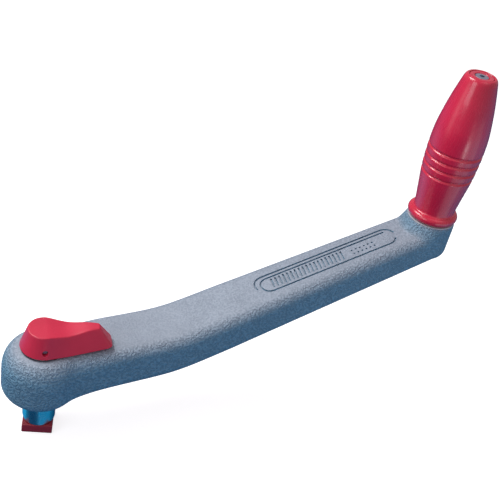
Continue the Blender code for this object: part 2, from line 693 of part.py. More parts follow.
def grip_profile():
    """The outside, from the bottom face up to the rim round the cap, then down the bore."""
    profile = [(FLANGE_FOOT_RADIUS, GRIP_BASE)]
    edge_steps = 8
    for i in range(edge_steps + 1):
        angle = math.radians(-78 + 156 * i / edge_steps)
        radius = FLANGE_MIDDLE[0] + FLANGE_EDGE_RADIUS * math.cos(angle)
        profile.append((radius, FLANGE_MIDDLE[1] + FLANGE_EDGE_RADIUS * math.sin(angle)))
    heights = [99.6, 105.0, 110.0, 115.0, 120.5]
    for height in GROOVE_HEIGHTS:
        heights += [height - GROOVE_HALF_WIDTH, height, height + GROOVE_HALF_WIDTH]
    heights += [149.0, 156.0, 161.0, 166.0, 175.0, 183.0, 188.4]
    for height in heights:
        depth = GROOVE_DEPTH if height in GROOVE_HEIGHTS else 0.0
        profile.append((grip_radius(height) - depth, height))
    profile += GRIP_RIM
    profile += [(CAP_RADIUS + GAP, GRIP_TOP), (CAP_RADIUS + GAP, CAP_SEAT)]
    profile += [(BUSH_SEAT_RADIUS, CAP_SEAT), (BUSH_SEAT_RADIUS, BUSH_SEATS[1])]
    profile += [(GRIP_BORE_RADIUS, BUSH_SEATS[1]), (GRIP_BORE_RADIUS, BUSH_SEATS[0])]
    profile += [(BUSH_SEAT_RADIUS, BUSH_SEATS[0]), (BUSH_SEAT_RADIUS, GRIP_BASE)]
    return profile


def build_grip(finishes):
    spin = pivot("grip_pivot", CENTRES, 0.0, 0.0)
    add_object("grip_body", turned(grip_profile(), 32, closed=True), finishes["red"], spin)
    cap = tube(SCREW_HEAD_RADIUS + GAP, CAP_RADIUS, CAP_SEAT + 0.4, GRIP_TOP - 0.2, 28, 0.3)
    add_object("grip_end_cap", cap, finishes["red"], spin)
    bush_bore = AXLE_RADIUS + GAP / 2
    upper = tube(bush_bore, GRIP_BUSH_RADIUS, *GRIP_UPPER_BUSH, 24)
    add_object("grip_upper_bush", upper, finishes["nylon"], spin)
    lower = tube(bush_bore, GRIP_BUSH_RADIUS, *GRIP_LOWER_BUSH, 24)
    add_object("grip_lower_bush", lower, finishes["nylon"], spin)

    root = pivot("axle_centre", CENTRES, 0.0, 0.0)
    washer = tube(*THRUST_WASHER_RADII, END_BOSS_TOP + 0.15, GRIP_BASE - GAP, 36)
    add_object("grip_thrust_washer", washer, finishes["nylon"], root)
    axle = add_object("grip_axle", rod(AXLE_RADIUS, *AXLE, 24, 0.3), finishes["steel"], root)
    thread = rod(AXLE_THREAD_RADIUS, AXLE[1] - AXLE_THREAD_DEPTH, AXLE[1] + 1.0, 16)
    boolean(axle, add_object("tool_axle_thread", thread, None, root))
    screw_top = GRIP_TOP - GAP
    head_bottom = screw_top - SCREW_HEAD_HEIGHT
    screw_end = AXLE[1] - AXLE_THREAD_DEPTH + 2.0
    profile = [(0.0, screw_end), (SCREW_RADIUS, screw_end), (SCREW_RADIUS, head_bottom)]
    profile += [(SCREW_HEAD_RADIUS, head_bottom), (SCREW_HEAD_RADIUS, screw_top - 0.3)]
    profile += [(SCREW_HEAD_RADIUS - 0.3, screw_top), (0.0, screw_top)]
    screw = add_object("grip_retaining_screw", turned(profile, 24), finishes["steel"], root)
    hexagon = prism(polygon(SCREW_HEXAGON, 6), screw_top - 3.0, screw_top + 1.0)
    boolean(screw, add_object("tool_grip_screw_hex", hexagon, None, root))
    keeper = tube(AXLE_THREAD_RADIUS, RETAINING_WASHER_RADIUS, AXLE[1] + 0.2, head_bottom - GAP, 24)
    add_object("grip_retaining_washer", keeper, finishes["steel"], root)

    bolt_bore = AXLE_RADIUS + GAP
    insert = tube(bolt_bore, INSERT_RADIUS, *INSERT, 24, 0.4)
    add_object("axle_threaded_insert", insert, finishes["brass"], root)
    nut_washer = tube(bolt_bore, NUT_WASHER_RADIUS, *NUT_WASHER, 24)
    add_object("axle_nut_washer", nut_washer, finishes["steel"], root)
    nut = add_object("axle_lock_nut", prism(polygon(NUT_FLATS, 6), *NUT), finishes["steel"], root)
    nut_bore = rod(bolt_bore, NUT[0] - 1.0, NUT[1] + 1.0, 24)
    boolean(nut, add_object("tool_nut_bore", nut_bore, None, root))
    add_object("arm_end_plug", rod(END_PLUG_RADIUS, *END_PLUG, 32, 0.3), finishes["arm_dark"], root)


def main():
    clear_scene()
    finishes = {
        "arm": material("grey_composite", (0.33, 0.36, 0.41), 0.62),
        "arm_dark": material("dark_grey_moulding", (0.13, 0.14, 0.16), 0.6),
        "red": material("red_gloss_plastic", (0.55, 0.018, 0.045), 0.25),
        "dark_red": material("dark_red_plastic", (0.30, 0.02, 0.04), 0.4),
        "steel": material("polished_steel", (0.62, 0.64, 0.67), 0.2, 1.0),
        "brass": material("brass", (0.62, 0.45, 0.18), 0.3, 1.0),
        "nylon": material("white_nylon", (0.75, 0.74, 0.70), 0.5),
        "rubber": material("black_rubber", (0.02, 0.02, 0.02), 0.8),
        "foam": material("closed_cell_foam", (0.8, 0.78, 0.7), 0.9),
    }
    build_arm(finishes)
    build_chamber_parts(finishes)
    build_drive(finishes)
    build_hub_stack(finishes)
    build_lock(finishes)
    build_grip(finishes)


main()
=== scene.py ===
"""Looks of the lock-in winch handle: fine meshes, materials, light and camera.

Lengths are in millimetres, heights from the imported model's origin, x from the drive
axis towards the grip axis. Meshes are written in metres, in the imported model's frame.
"""
import json
import math

import bmesh
import bpy
from mathutils import Matrix, Vector


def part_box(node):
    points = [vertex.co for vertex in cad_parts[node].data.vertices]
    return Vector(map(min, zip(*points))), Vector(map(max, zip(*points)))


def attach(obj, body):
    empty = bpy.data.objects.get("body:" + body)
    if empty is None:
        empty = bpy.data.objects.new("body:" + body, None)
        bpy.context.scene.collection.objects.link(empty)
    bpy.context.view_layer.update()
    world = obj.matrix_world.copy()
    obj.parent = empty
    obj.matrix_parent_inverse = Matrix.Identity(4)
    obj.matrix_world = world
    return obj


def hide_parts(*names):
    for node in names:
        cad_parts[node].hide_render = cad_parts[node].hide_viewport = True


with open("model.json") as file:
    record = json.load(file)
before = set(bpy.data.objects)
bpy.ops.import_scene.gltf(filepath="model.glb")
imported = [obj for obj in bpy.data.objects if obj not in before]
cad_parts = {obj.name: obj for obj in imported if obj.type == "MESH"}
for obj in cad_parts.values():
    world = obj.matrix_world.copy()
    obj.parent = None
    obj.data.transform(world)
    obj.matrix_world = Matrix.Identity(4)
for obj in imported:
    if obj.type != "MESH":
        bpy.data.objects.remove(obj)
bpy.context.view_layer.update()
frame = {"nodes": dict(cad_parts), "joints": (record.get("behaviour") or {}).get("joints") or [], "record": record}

MM = 0.001
GAP = 0.3                       # clearance between two pieces that touch
OVERRUN = 1.0                   # how far a cutter stands out past what it cuts
WELD_DISTANCE = 0.001
SHARP_ANGLE = math.radians(35.0)  # creases sharper than this are shaded as edges


def node_box(name):
    """A node's lowest and highest corners in millimetres."""
    low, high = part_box(name)
    return low / MM, high / MM


def joint_point(name):
    found = [joint for joint in frame["joints"] if joint["name"] == name]
    return Vector(found[0]["pos_m"]) / MM


ARM_BOX = node_box("arm_shell")
LEVER_BOX = node_box("lock_lever")
PLATE_BOX = node_box("lock_plate")
GRIP_BOX = node_box("grip_body")
CAP_BOX = node_box("grip_end_cap")
SCREW_BOX = node_box("grip_retaining_screw")
DRIVE_BOX = node_box("drive_shank")

# Arm
CENTRES = joint_point("grip_spin").x
HUB_RADIUS = -ARM_BOX[0].x
HUB_TOP = 41.5
ARM_HALF_WIDTH = 18.8
ARM_END_HALF_WIDTH = ARM_BOX[1].x - CENTRES
TAPER_START_X = 110.0
ARM_DEPTH = (28.0, 26.2, 24.4)
RISE_ANGLE = math.radians(15.2)
BEND_X = 76.0
BEND_SOFTNESS = 6.0
TOP_EDGE = (7.6, 7.6)           # the rounded edge's reach in from the side and down it
BOTTOM_EDGE_RADIUS = 7.1
NOSE_TOP_EDGE = (9.4, 14.5)     # the same round the hub's nose
NOSE_BOTTOM_EDGE_RADIUS = 5.2
NOSE_BOTTOM_POWER = 5           # how soon the lower edge returns to the arm's
NOSE_LENGTH = 42.0              # how far along the arm the nose's edges run out
WIDTH_SOFTNESS = 0.7
EXPONENT_LIMIT = 60.0           # keeps the bend's curve from overflowing far out
# Stations along the arm: from, to and their spacing
ARM_STATIONS = ((0.0, 46.0, 0.9), (46.0, 100.0, 1.5), (100.0, 226.0, 5.0), (226.0, CENTRES, 0.7))
END_BOSS_RADIUS = 15.6
END_BOSS_TOP = ARM_BOX[1].z
END_FILLET = 5.2                # how far the slope's rise to the end boss reaches
END_FILLET_POWER = 2.2
SHOULDER_RADIUS = 12.0
SHOULDER_Z = ARM_BOX[0].z
FLARE_LENGTH = 7.0              # how quickly the hub's flared underside dies away

# Openings in the arm
CHAMBER_X = (38.0, 224.0)
CHAMBER_WALL = 9.2
CHAMBER_ROOF = 4.0
STRIP_SPACINGS = (3.0, 20.0)    # of the chamber's stations, up to STRIP_BEND_END and past it
STRIP_BEND_END = 100.0
COVER_LEDGE = 1.8
COVER_THICKNESS = 2.4
GASKET_THICKNESS = 0.8
REBATE_DEPTH = COVER_THICKNESS + GASKET_THICKNESS + 2 * GAP
NECK_BORE_RADIUS = 9.7
HEAD_SEAT_FLATS = 22.6
HEAD_SEAT = (8.0, 24.0)         # bottom and top of the cutter for the drive's head
HEAD_SIDES = 8
HUB_BORE_RADIUS = 12.3
HUB_BORE_BOTTOM = 20.15
NUT_POCKET = (60.0, 76.0)
NUT_POCKET_RADIUS = 9.3
AXLE_HOLE_RADIUS = 4.6
INSERT_SEAT = 79.0
INSERT_SEAT_RADIUS = 8.3

# Engraved panel on the slope: its points are (along, across), from its lower left end
PANEL_START_X = 130.5
PANEL_END_X = 227.5
PANEL_HALF_WIDTH = 7.0
GROOVE_TOP_WIDTH = 1.35
GROOVE_BOTTOM_WIDTH = 0.9
GROOVE_CUT_DEPTH = 1.1
GROOVE_CLEAR = 0.8              # how far a groove's cutter stands above the surface
PANEL_LINE_GAP = 1.3            # between the two outlines
PANEL_OUTER_ENDS = (196, 8)     # degrees at which the outer outline starts and stops
PANEL_INNER_ARCS = ((98, 270), (278, 335))
PANEL_INNER_REACH = (2.0, 1.5)  # past the left and the right arc's centre
BAR_COUNT = 19
BAR_START = 4.0
BAR_PITCH = 2.75
BAR_SLANT = 1.6
BAR_MARGINS = (2.2, 1.6)        # below and above the bars
DASH_ROWS = (-3.4, -0.2)
DASH_COUNT = 6
DASH_START = 61.0
DASH_PITCH = 3.0
DASH_SLANT = 0.35
DASH_HALF_HEIGHT = 0.55

# Lever
LEVER_ANGLE = math.radians(-13.0)
LEVER_BASE = LEVER_BOX[0].z
LEVER_BASE_RADIUS = 12.75
LEVER_TOP_RADIUS = 8.9
LEVER_LENGTH = 37.0
LEVER_TOP_LENGTH = 29.4
LEVER_HEIGHT = 12.4
LEVER_EDGE_RADIUS = 0.6
LEVER_FOOT_EDGE = 0.5
LEVER_SPINE_INSET = 2.6         # from the tail to the end of the top's spine
# The tail's half width and corner radius: at the base, at the top's edge and inside that
LEVER_TAILS = ((6.6, 3.2), (2.4, 1.2), (1.3, 0.8))
SCOOP_DEPTH = 1.5
SCOOP_STRETCH = 1.15            # above 1, the thumb's scoop ends short of the tail
LEVER_TAIL_RISE = 0.5
LEVER_TAIL_CLEAR = 1.5          # under the tail, more than at the hub
LEVER_PIN_Z = 46.6
LEVER_PIN_RADIUS = 1.5
LEVER_PIN_HALF_LENGTH = 10.4
LEVER_PIN_EDGE = 0.3
LEVER_SOCKET_RADIUS = 4.3
LEVER_SOCKET_TOP = 51.0

# Drive and plate
DRIVE_FLATS = 17.46
DRIVE_CORNER_RADIUS = 9.3
DRIVE_END_ROUNDING = ((8.65, 0.0), (8.95, 0.25), (9.2, 0.8), (9.4, 1.8))
DRIVE_NECK_RADIUS = 9.4
DRIVE_NECK_START = 1.6
DRIVE_HEAD_FLATS = DRIVE_BOX[1].x - DRIVE_BOX[0].x
DRIVE_HEAD_BOTTOM = 8.3
DRIVE_END_REACH = 8.0           # height above the end where its rounding's envelope is clear
DRIVE_BORE_RADII = (6.3, 4.3)   # the lower bush's seat, then round the spindle
DRIVE_BUSH_SEAT_TOP = -3.0
PLATE_FLATS = 17.2
PLATE_CORNER_RADIUS = 12.0
PLATE_TURN = math.radians(-22.5)  # from the drive's corners when locked
PLATE_EDGE = 0.7
PLATE_RECESS_RADIUS = 4.4
PLATE_RECESS_DEPTH = 1.9
PLATE_EYE_FLATS = 6.0

# Small turned pieces whose edges can be seen: node, slot, inner radius and edge
RINGS = (
    ("lever_washer", "nylon", 4.3, 0.15),
    ("arm_end_plug", "arm_dark", 0.0, 0.3),
    ("grip_thrust_washer", "nylon", 6.0, 0.15),
)

# Grip
FLANGE_HEIGHT = 96.1
FLANGE_RADIUS = 13.3
FLANGE_ROUNDING = 2.95
NECK_FILLET = 1.4               # between the flange and the neck
NECK_START = 100.25             # top of that fillet
GRIP_STATIONS = (
    (99.6, 13.2), (105.0, 13.7), (115.0, 15.05), (126.0, 16.5), (136.0, 17.12),
    (146.0, 17.26), (156.0, 16.75), (166.0, 15.35), (175.0, 13.75), (183.0, 12.0), (188.4, 10.7),
)
BARREL_STEP = 0.25
FLANGE_FOOT_WIDTH = 0.3
FLANGE_FOOT_ANGLE = -84         # where the flange's rounding starts, in degrees
GROOVE_HEIGHTS = (126.6, 132.3, 138.0, 143.7)
GROOVE_DEPTH = 0.85
GROOVE_HALF_WIDTH = 1.15
GROOVE_LIP = 1.25               # the soft lips' reach, as a share of that half width
BUSH_SEAT_RADIUS = 7.2
GRIP_BORE_RADIUS = 6.4
BUSH_SEATS = (107.0, 172.0)     # top of the lower one and bottom of the upper one
CAP_SEAT = 188.0
BARREL_TOP = 188.4
RIM_BEND_RADIUS = 9.9           # the rim rounds over towards this radius
RIM_BEND_DROP = 0.4
RIM_WIDTH = 1.2                 # from the cap to the rim's crest
RIM_INNER_EDGE = (0.2, 0.25)
CAP_EDGE = 0.4
CAP_RADIUS = (CAP_BOX[1].x - CAP_BOX[0].x) / 2
SCREW_RADIUS = (SCREW_BOX[1].x - SCREW_BOX[0].x) / 2
SCREW_HEAD_HEIGHT = 7.4
SCREW_SHANK_RADIUS = 1.6
SCREW_EDGE = ((0.0, 0.4), (0.15, 0.1), (0.45, 0.0))  # insets and drops round the head's rim
SCREW_HEXAGON_FLATS = 3.0
SCREW_HEXAGON_DEPTH = 3.0

# Camera
CAMERA_AZIMUTH = math.radians(-35.21)
CAMERA_ELEVATION = math.radians(34.44)
CAMERA_ROLL = math.radians(13.07)
CAMERA_DISTANCE = 506.6
CAMERA_TARGET = Vector((119.4, 0.0, 87.46))
CAMERA_LENS = 62.95
CAMERA_SENSOR = 36.0
CAMERA_CLIP = 0.01


# --- Objects ----------------------------------------------------------------

def add_piece(name, maker, finish, body=None, replaces=()):
    """Writes a bmesh made in millimetres as a piece of the object."""
    bmesh.ops.recalc_face_normals(maker, faces=maker.faces)
    bmesh.ops.scale(maker, vec=(MM, MM, MM), verts=maker.verts)
    mesh = bpy.data.meshes.new(name)
    maker.to_mesh(mesh)
    maker.free()
    mesh.shade_smooth()
    mesh.set_sharp_from_angle(angle=SHARP_ANGLE)
    piece = bpy.data.objects.new(name, mesh)
    bpy.context.scene.collection.objects.link(piece)
    if finish is not None:
        mesh.materials.append(finish)
    if body is not None:
        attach(piece, body)
        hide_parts(*replaces)
    return piece


def cut(piece, makers, operation="DIFFERENCE"):
    """Cuts meshes out of a piece, joins them to it or trims it by them."""
    for maker in makers:
        tool = add_piece("cutter", maker, None)
        change = piece.modifiers.new("cut", "BOOLEAN")
        change.object = tool
        change.operation = operation
        change.solver = "EXACT"
        depsgraph = bpy.context.evaluated_depsgraph_get()
        result = bpy.data.meshes.new_from_object(piece.evaluated_get(depsgraph))
        piece.modifiers.clear()
        result.materials.clear()
        for finish in piece.data.materials:
            result.materials.append(finish)
        piece.data = result
        bpy.data.objects.remove(tool, do_unlink=True)
    piece.data.shade_smooth()
    piece.data.set_sharp_from_angle(angle=SHARP_ANGLE)


def join_rings(maker, near, far):
    """Joins two rings of vertices; either may be a single vertex at a pole."""
    count = max(len(near), len(far))
    for i in range(count):
        j = (i + 1) % count
        corners = [near[i % len(near)], near[j % len(near)]]
        corners += [far[j % len(far)], far[i % len(far)]]
        unique = list(dict.fromkeys(corners))
        if len(unique) > 2:
            maker.faces.new(unique)


def capped(maker, rings):
    """Joins rings of vertices in turn, and closes the first and the last."""
    for near, far in zip(rings, rings[1:]):
        join_rings(maker, near, far)
    maker.faces.new(rings[0])
    maker.faces.new(rings[-1])
    return maker


def turned(profile, centre=(0.0, 0.0), segments=96, closed=False):
    """Turns (radius, height) points about a vertical axis; a radius of 0 makes a pole."""
    maker = bmesh.new()
    rings = []
    for radius, height in profile:
        ring = []
        for i in range(segments if radius else 1):
            angle = 2 * math.pi * i / segments
            x = centre[0] + radius * math.cos(angle)
            y = centre[1] + radius * math.sin(angle)
            ring.append(maker.verts.new((x, y, height)))
        rings.append(ring)
    for near, far in zip(rings, rings[1:]):
        join_rings(maker, near, far)
    if closed:
        join_rings(maker, rings[-1], rings[0])
    return maker


def mirrored_skin(half):
    """A skin from columns of points along one side, and their mirror image across y = 0."""
    maker = bmesh.new()
    for side in (1, -1):
        columns = [[maker.verts.new((x, side * y, z)) for x, y, z in points] for points in half]
        for near, far in zip(columns, columns[1:]):
            for k in range(len(near) - 1):
                maker.faces.new((near[k], far[k], far[k + 1], near[k + 1]))
    return maker


def rod_profile(radius, bottom, top, edge=0.0):
    """A rod's profile, its two ends chamfered where an edge is given."""
    profile = [(0.0, bottom), (radius - edge, bottom), (radius, bottom + edge)]
    profile += [(radius, top - edge), (radius - edge, top), (0.0, top)]
    return list(dict.fromkeys(profile))


def plain_rod(radius, bottom, top):
    return turned(rod_profile(radius, bottom, top))


def rounded_ring(inner, outer, bottom, top, edge, steps=4):
    """A ring's profile with its four edges rounded."""
    corners = ((outer, bottom, -90), (outer, top, 0), (inner, top, 90), (inner, bottom, 180))
    profile = []
    for radius, height, start in corners:
        out = radius - edge if radius == outer else radius + edge
        level = height + edge if height == bottom else height - edge
        for i in range(steps + 1):
            angle = math.radians(start + 90 * i / steps)
            profile.append((out + edge * math.cos(angle), level + edge * math.sin(angle)))
    return profile


def stacked_outlines(outline, levels):
    """A bar from an outline repeated at each (height, scale) level."""
    maker = bmesh.new()
    rings = []
    for height, scale in levels:
        rings.append([maker.verts.new((x * scale, y * scale, height)) for x, y in outline])
    return capped(maker, rings)


def prism(outline, bottom, top):
    return stacked_outlines(outline, ((bottom, 1.0), (top, 1.0)))


def polygon(flats, sides):
    """A regular polygon by its size across flats, with a flat facing +X."""
    radius = flats / 2 / math.cos(math.pi / sides)
    step = 2 * math.pi / sides
    angles = [step * (i + 0.5) for i in range(sides)]
    return [(radius * math.cos(angle), radius * math.sin(angle)) for angle in angles]


def moved(maker, place):
    bmesh.ops.translate(maker, vec=Vector(place), verts=maker.verts)
    return maker


def rotated(maker, angle, axis):
    bmesh.ops.rotate(maker, matrix=Matrix.Rotation(angle, 3, axis), verts=maker.verts)
    return maker


def spread(start, stop, step):
    """Even stations from start up to, but not including, stop."""
    count = max(1, round((stop - start) / step))
    return [start + (stop - start) * i / count for i in range(count)]


# --- Materials --------------------------------------------------------------

# Noise scales are per metre, and bump depths are in metres
NOISE_RANGE = (0.3, 0.7)        # where most of a noise's values lie
STIPPLE_SCALE = 820.0
STIPPLE_RANGE = (0.36, 0.64)
STIPPLE_FADE = (0.8, 0.995)     # upward shares between which the stipple fades
STIPPLE_ON_TOP = 0.22
FINE_HEIGHT = 0.14              # the fine grain's share in the bump
TONE_WEIGHTS = (0.6, 0.35, 0.3)  # of the stipple, the fine grain and the clouds
TONE_RANGE = (0.02, 0.28)
# Painted shade: the sides of grained plastic are painted darker and bluer than its top by this tint
SIDE_PAINTED_SHADE = (0.46, 0.82, 0.96)
SIDE_PAINTED_SHADE_FADE = (0.25, 0.99)   # upward shares between which the painted side shade fades out
GRAIN_DEPTH = 0.0005
RIPPLE_DEPTH = 0.00002
COAT_ROUGHNESS = 0.12
PATINA = 0.86                   # the darker tone's share of a metal's own
TOOL_MARK_DEPTH = 0.000008


class NodeTree:
    """Short calls for adding nodes to a tree."""

    def __init__(self, tree):
        self.tree = tree

    def feed(self, socket, value):
        """Links a node's output to a socket, or sets the socket's own value."""
        if isinstance(value, bpy.types.NodeSocket):
            self.tree.links.new(value, socket)
        elif socket.type == "RGBA":
            socket.default_value = (*value, 1.0)
        else:
            socket.default_value = value

    def add(self, kind, *values):
        """Adds a node and feeds its sockets, from pairs of a socket's name and its value."""
        node = self.tree.nodes.new(kind)
        for name, value in values:
            self.feed(node.inputs[name], value)
        return node

    def math(self, operation, first, second):
        node = self.add("ShaderNodeMath", (0, first), (1, second))
        node.operation = operation
        return node.outputs["Value"]

    def ramp(self, value, from_range, to_range=(0.0, 1.0)):
        node = self.add("ShaderNodeMapRange", ("Value", value), ("From Min", from_range[0]),
                        ("From Max", from_range[1]), ("To Min", to_range[0]),
                        ("To Max", to_range[1]))
        return node.outputs["Result"]

    def blend(self, share, first, second):
        """A colour between two, each a plain colour or another node's."""
        node = self.add("ShaderNodeMix", ("Factor", share))
        node.data_type = "RGBA"
        sockets = [socket for socket in node.inputs if socket.type == "RGBA"]
        for socket, colour in zip(sockets, (first, second)):
            self.feed(socket, colour)
        return [socket for socket in node.outputs if socket.type == "RGBA"][0]


class Nodes(NodeTree):
    """Short calls for building one material's nodes."""

    def __init__(self, name, colour, roughness, metallic=0.0):
        self.material = bpy.data.materials.new(name)
        self.material.use_nodes = True
        super().__init__(self.material.node_tree)
        self.coordinates = self.add("ShaderNodeTexCoord").outputs
        self.set("Base Color", colour)
        self.set("Roughness", roughness)
        self.set("Metallic", metallic)

    def set(self, name, value):
        """Feeds one of the surface shader's sockets."""
        self.feed(self.tree.nodes["Principled BSDF"].inputs[name], value)

    def noise(self, scale, detail=3.0, stretch=None):
        source = self.coordinates["Object"]
        if stretch is not None:
            mapping = self.add("ShaderNodeMapping", ("Scale", stretch), ("Vector", source))
            source = mapping.outputs["Vector"]
        node = self.add("ShaderNodeTexNoise", ("Scale", scale), ("Detail", detail),
                        ("Vector", source))
        return node.outputs["Fac"]

    def cells(self, scale):
        node = self.add("ShaderNodeTexVoronoi", ("Scale", scale),
                        ("Vector", self.coordinates["Object"]))
        node.feature = "SMOOTH_F1"
        return node.outputs["Distance"]

    def mottle(self, noise, dark, light, from_range=NOISE_RANGE):
        """Colours the surface between two tones by a noise."""
        self.set("Base Color", self.blend(self.ramp(noise, from_range), dark, light))

    def vary_roughness(self, noise, roughness, less, more):
        """Spreads the roughness by a noise."""
        spread_to = (roughness - less, roughness + more)
        self.set("Roughness", self.ramp(noise, NOISE_RANGE, spread_to))

    def bump(self, height, distance):
        node = self.add("ShaderNodeBump", ("Distance", distance), ("Height", height))
        self.set("Normal", node.outputs["Normal"])

    def facing_up(self):
        """The surface's upward share, from its own normal."""
        split = self.add("ShaderNodeSeparateXYZ", ("Vector", self.coordinates["Normal"]))
        return split.outputs["Z"]


def grained_plastic(name, dark, light, roughness):
    """Moulded composite: a coarse stipple on the sides, fading to fine grain on the top; the sides are painted
    darker and bluer than the top as painted shade.
    """
    made = Nodes(name, light, roughness)
    up = made.facing_up()
    stipple = made.ramp(made.noise(STIPPLE_SCALE, detail=1.0), STIPPLE_RANGE)
    fine = made.noise(scale=3600.0, detail=2.0)
    cloud = made.noise(scale=60.0)
    side = made.ramp(up, STIPPLE_FADE, (1.0, STIPPLE_ON_TOP))
    height = made.math("ADD", made.math("MULTIPLY", stipple, side),
                       made.math("MULTIPLY", fine, FINE_HEIGHT))
    stipple_weight, fine_weight, cloud_weight = TONE_WEIGHTS
    speck = made.math("MULTIPLY", made.math("SUBTRACT", stipple, 0.5),
                      made.math("MULTIPLY", side, stipple_weight))
    grain = made.math("MULTIPLY", made.math("SUBTRACT", fine, 0.5), fine_weight)
    tone = made.math("ADD", made.math("ADD", speck, grain),
                     made.math("MULTIPLY", cloud, cloud_weight))
    share = made.ramp(tone, TONE_RANGE)
    # Painted shade: the sides' tones are the top's, darkened and blued, blending back to the top's as the surface
    # faces up
    painted_shade_tones = [tuple(a * b for a, b in zip(colour, SIDE_PAINTED_SHADE)) for colour in (dark, light)]
    above, painted_shade_side = made.blend(share, dark, light), made.blend(share, *painted_shade_tones)
    made.set("Base Color", made.blend(made.ramp(up, SIDE_PAINTED_SHADE_FADE), painted_shade_side, above))
    made.vary_roughness(fine, roughness, less=0.06, more=0.1)
    made.bump(height, GRAIN_DEPTH)
    return made.material


def gloss_plastic(name, dark, light, roughness, coat=0.45, grain=0.0):
    """Injection-moulded red plastic: a faint ripple, tiny scuffs and a clear gloss."""
    made = Nodes(name, light, roughness)
    made.set("Coat Weight", coat)
    made.set("Coat Roughness", COAT_ROUGHNESS)
    cloud = made.noise(scale=45.0, detail=4.0)
    scuff = made.noise(scale=900.0, detail=4.0, stretch=(1.0, 1.0, 0.25))
    speck = made.noise(scale=1500.0, detail=1.0)
    made.mottle(cloud, dark, light, from_range=(0.35, 0.65))
    made.vary_roughness(scuff, roughness, less=0.05, more=0.08)
    made.bump(made.math("ADD", cloud, made.math("MULTIPLY", speck, grain)), RIPPLE_DEPTH)
    return made.material


def machined_metal(name, colour, roughness):
    """Turned or ground metal: fine lines round the part."""
    made = Nodes(name, colour, roughness, metallic=1.0)
    lines = made.noise(scale=700.0, stretch=(1.0, 1.0, 8.0))
    darker = tuple(PATINA * channel for channel in colour)
    made.mottle(made.noise(scale=120.0), darker, colour)
    made.vary_roughness(lines, roughness, less=0.03, more=0.06)
    made.bump(lines, TOOL_MARK_DEPTH)
    return made.material


def soft_plastic(name, dark, light, roughness, scale=500.0, depth=0.00004):
    """Nylon, rubber or foam, by its grain."""
    made = Nodes(name, light, roughness)
    cloud = made.noise(scale / 8)
    made.mottle(cloud, dark, light)
    made.vary_roughness(cloud, roughness, less=0.05, more=0.05)
    made.bump(made.cells(scale), depth)
    return made.material


# Each slot's maker, tones, roughness, and what sets it apart from others of its kind
FINISHES = (
    ("arm_grey", grained_plastic, ((0.225, 0.275, 0.34), (0.32, 0.38, 0.46)), 0.6, {}),
    ("arm_dark", grained_plastic, ((0.10, 0.115, 0.14), (0.14, 0.155, 0.18)), 0.6, {}),
    ("red_gloss", gloss_plastic, ((0.56, 0.012, 0.05), (0.64, 0.016, 0.062)), 0.25, {}),
    ("lever_red", gloss_plastic, ((0.50, 0.010, 0.046), (0.57, 0.014, 0.056)), 0.45,
     {"coat": 0.15, "grain": 4.0}),
    ("dark_red", gloss_plastic, ((0.22, 0.01, 0.02), (0.3, 0.015, 0.03)), 0.4, {"coat": 0.15}),
    ("drive_metal", machined_metal, ((0.60, 0.66, 0.72),), 0.28, {}),
    ("steel", machined_metal, ((0.50, 0.62, 0.76),), 0.3, {}),
    # The cross pin's tone is darkened and reddened as painted shade, standing for the shadow in the lever's hole
    # round its end
    ("pin", machined_metal, ((0.28, 0.20, 0.24),), 0.5, {}),
    ("brass", machined_metal, ((0.62, 0.45, 0.18),), 0.3, {}),
    ("nylon", soft_plastic, ((0.42, 0.46, 0.51), (0.50, 0.54, 0.59)), 0.5, {}),
    ("rubber", soft_plastic, ((0.014, 0.014, 0.015), (0.025, 0.025, 0.026)), 0.75, {}),
    ("foam", soft_plastic, ((0.72, 0.70, 0.62), (0.84, 0.82, 0.74)), 0.95,
     {"scale": 900.0, "depth": 0.0002}),
)


def make_finishes():
    """All the materials, by name."""
    finishes = {}
    for name, maker, tones, roughness, rest in FINISHES:
        finishes[name] = maker(name, *tones, roughness, **rest)
    return finishes


# --- Arm --------------------------------------------------------------------

def arm_top(x):
    reach = min((x - BEND_X) / BEND_SOFTNESS, EXPONENT_LIMIT)
    return HUB_TOP + math.tan(RISE_ANGLE) * BEND_SOFTNESS * math.log1p(math.exp(reach))


def arm_depth(x):
    hub, middle, end = ARM_DEPTH
    if x < TAPER_START_X:
        return hub + (middle - hub) * max(x, 0.0) / TAPER_START_X
    return middle + (end - middle) * (x - TAPER_START_X) / (CENTRES - TAPER_START_X)


def arm_bottom(x):
    return arm_top(x) - arm_depth(x)


def arm_half_width(x):
    """The hub's circle runs into the arm's straight sides with a small fillet."""
    share = max(x - TAPER_START_X, 0.0) / (CENTRES - TAPER_START_X)
    side = ARM_HALF_WIDTH + (ARM_END_HALF_WIDTH - ARM_HALF_WIDTH) * share
    circle = math.sqrt(max(HUB_RADIUS ** 2 - x ** 2, 0.0))
    blend = math.log1p(math.exp(-abs(side - circle) / WIDTH_SOFTNESS))
    return max(side, circle) + WIDTH_SOFTNESS * blend


def raised_top(x, y, height):
    """The slope's surface curves up to the end boss under the grip."""
    away = (math.hypot(x - CENTRES, y) - END_BOSS_RADIUS) / END_FILLET
    share = (1 - min(max(away, 0.0), 1.0)) ** END_FILLET_POWER
    return height + (END_BOSS_TOP - height) * share


def flared_bottom(x, y, height):
    """The underside runs down to the shoulder round the drive in a flare."""
    depth = arm_bottom(0.0) - SHOULDER_Z
    drop = depth * math.exp((SHOULDER_RADIUS - math.hypot(x, y)) / FLARE_LENGTH)
    return height - drop


def nose_share(x):
    """From 1 at the hub's axis, smoothly down to 0 where the nose's edges run out."""
    share = min(max(1 - x / NOSE_LENGTH, 0.0), 1.0)
    return share * share * (3 - 2 * share)


def between(first, second, share):
    return first + (second - first) * share


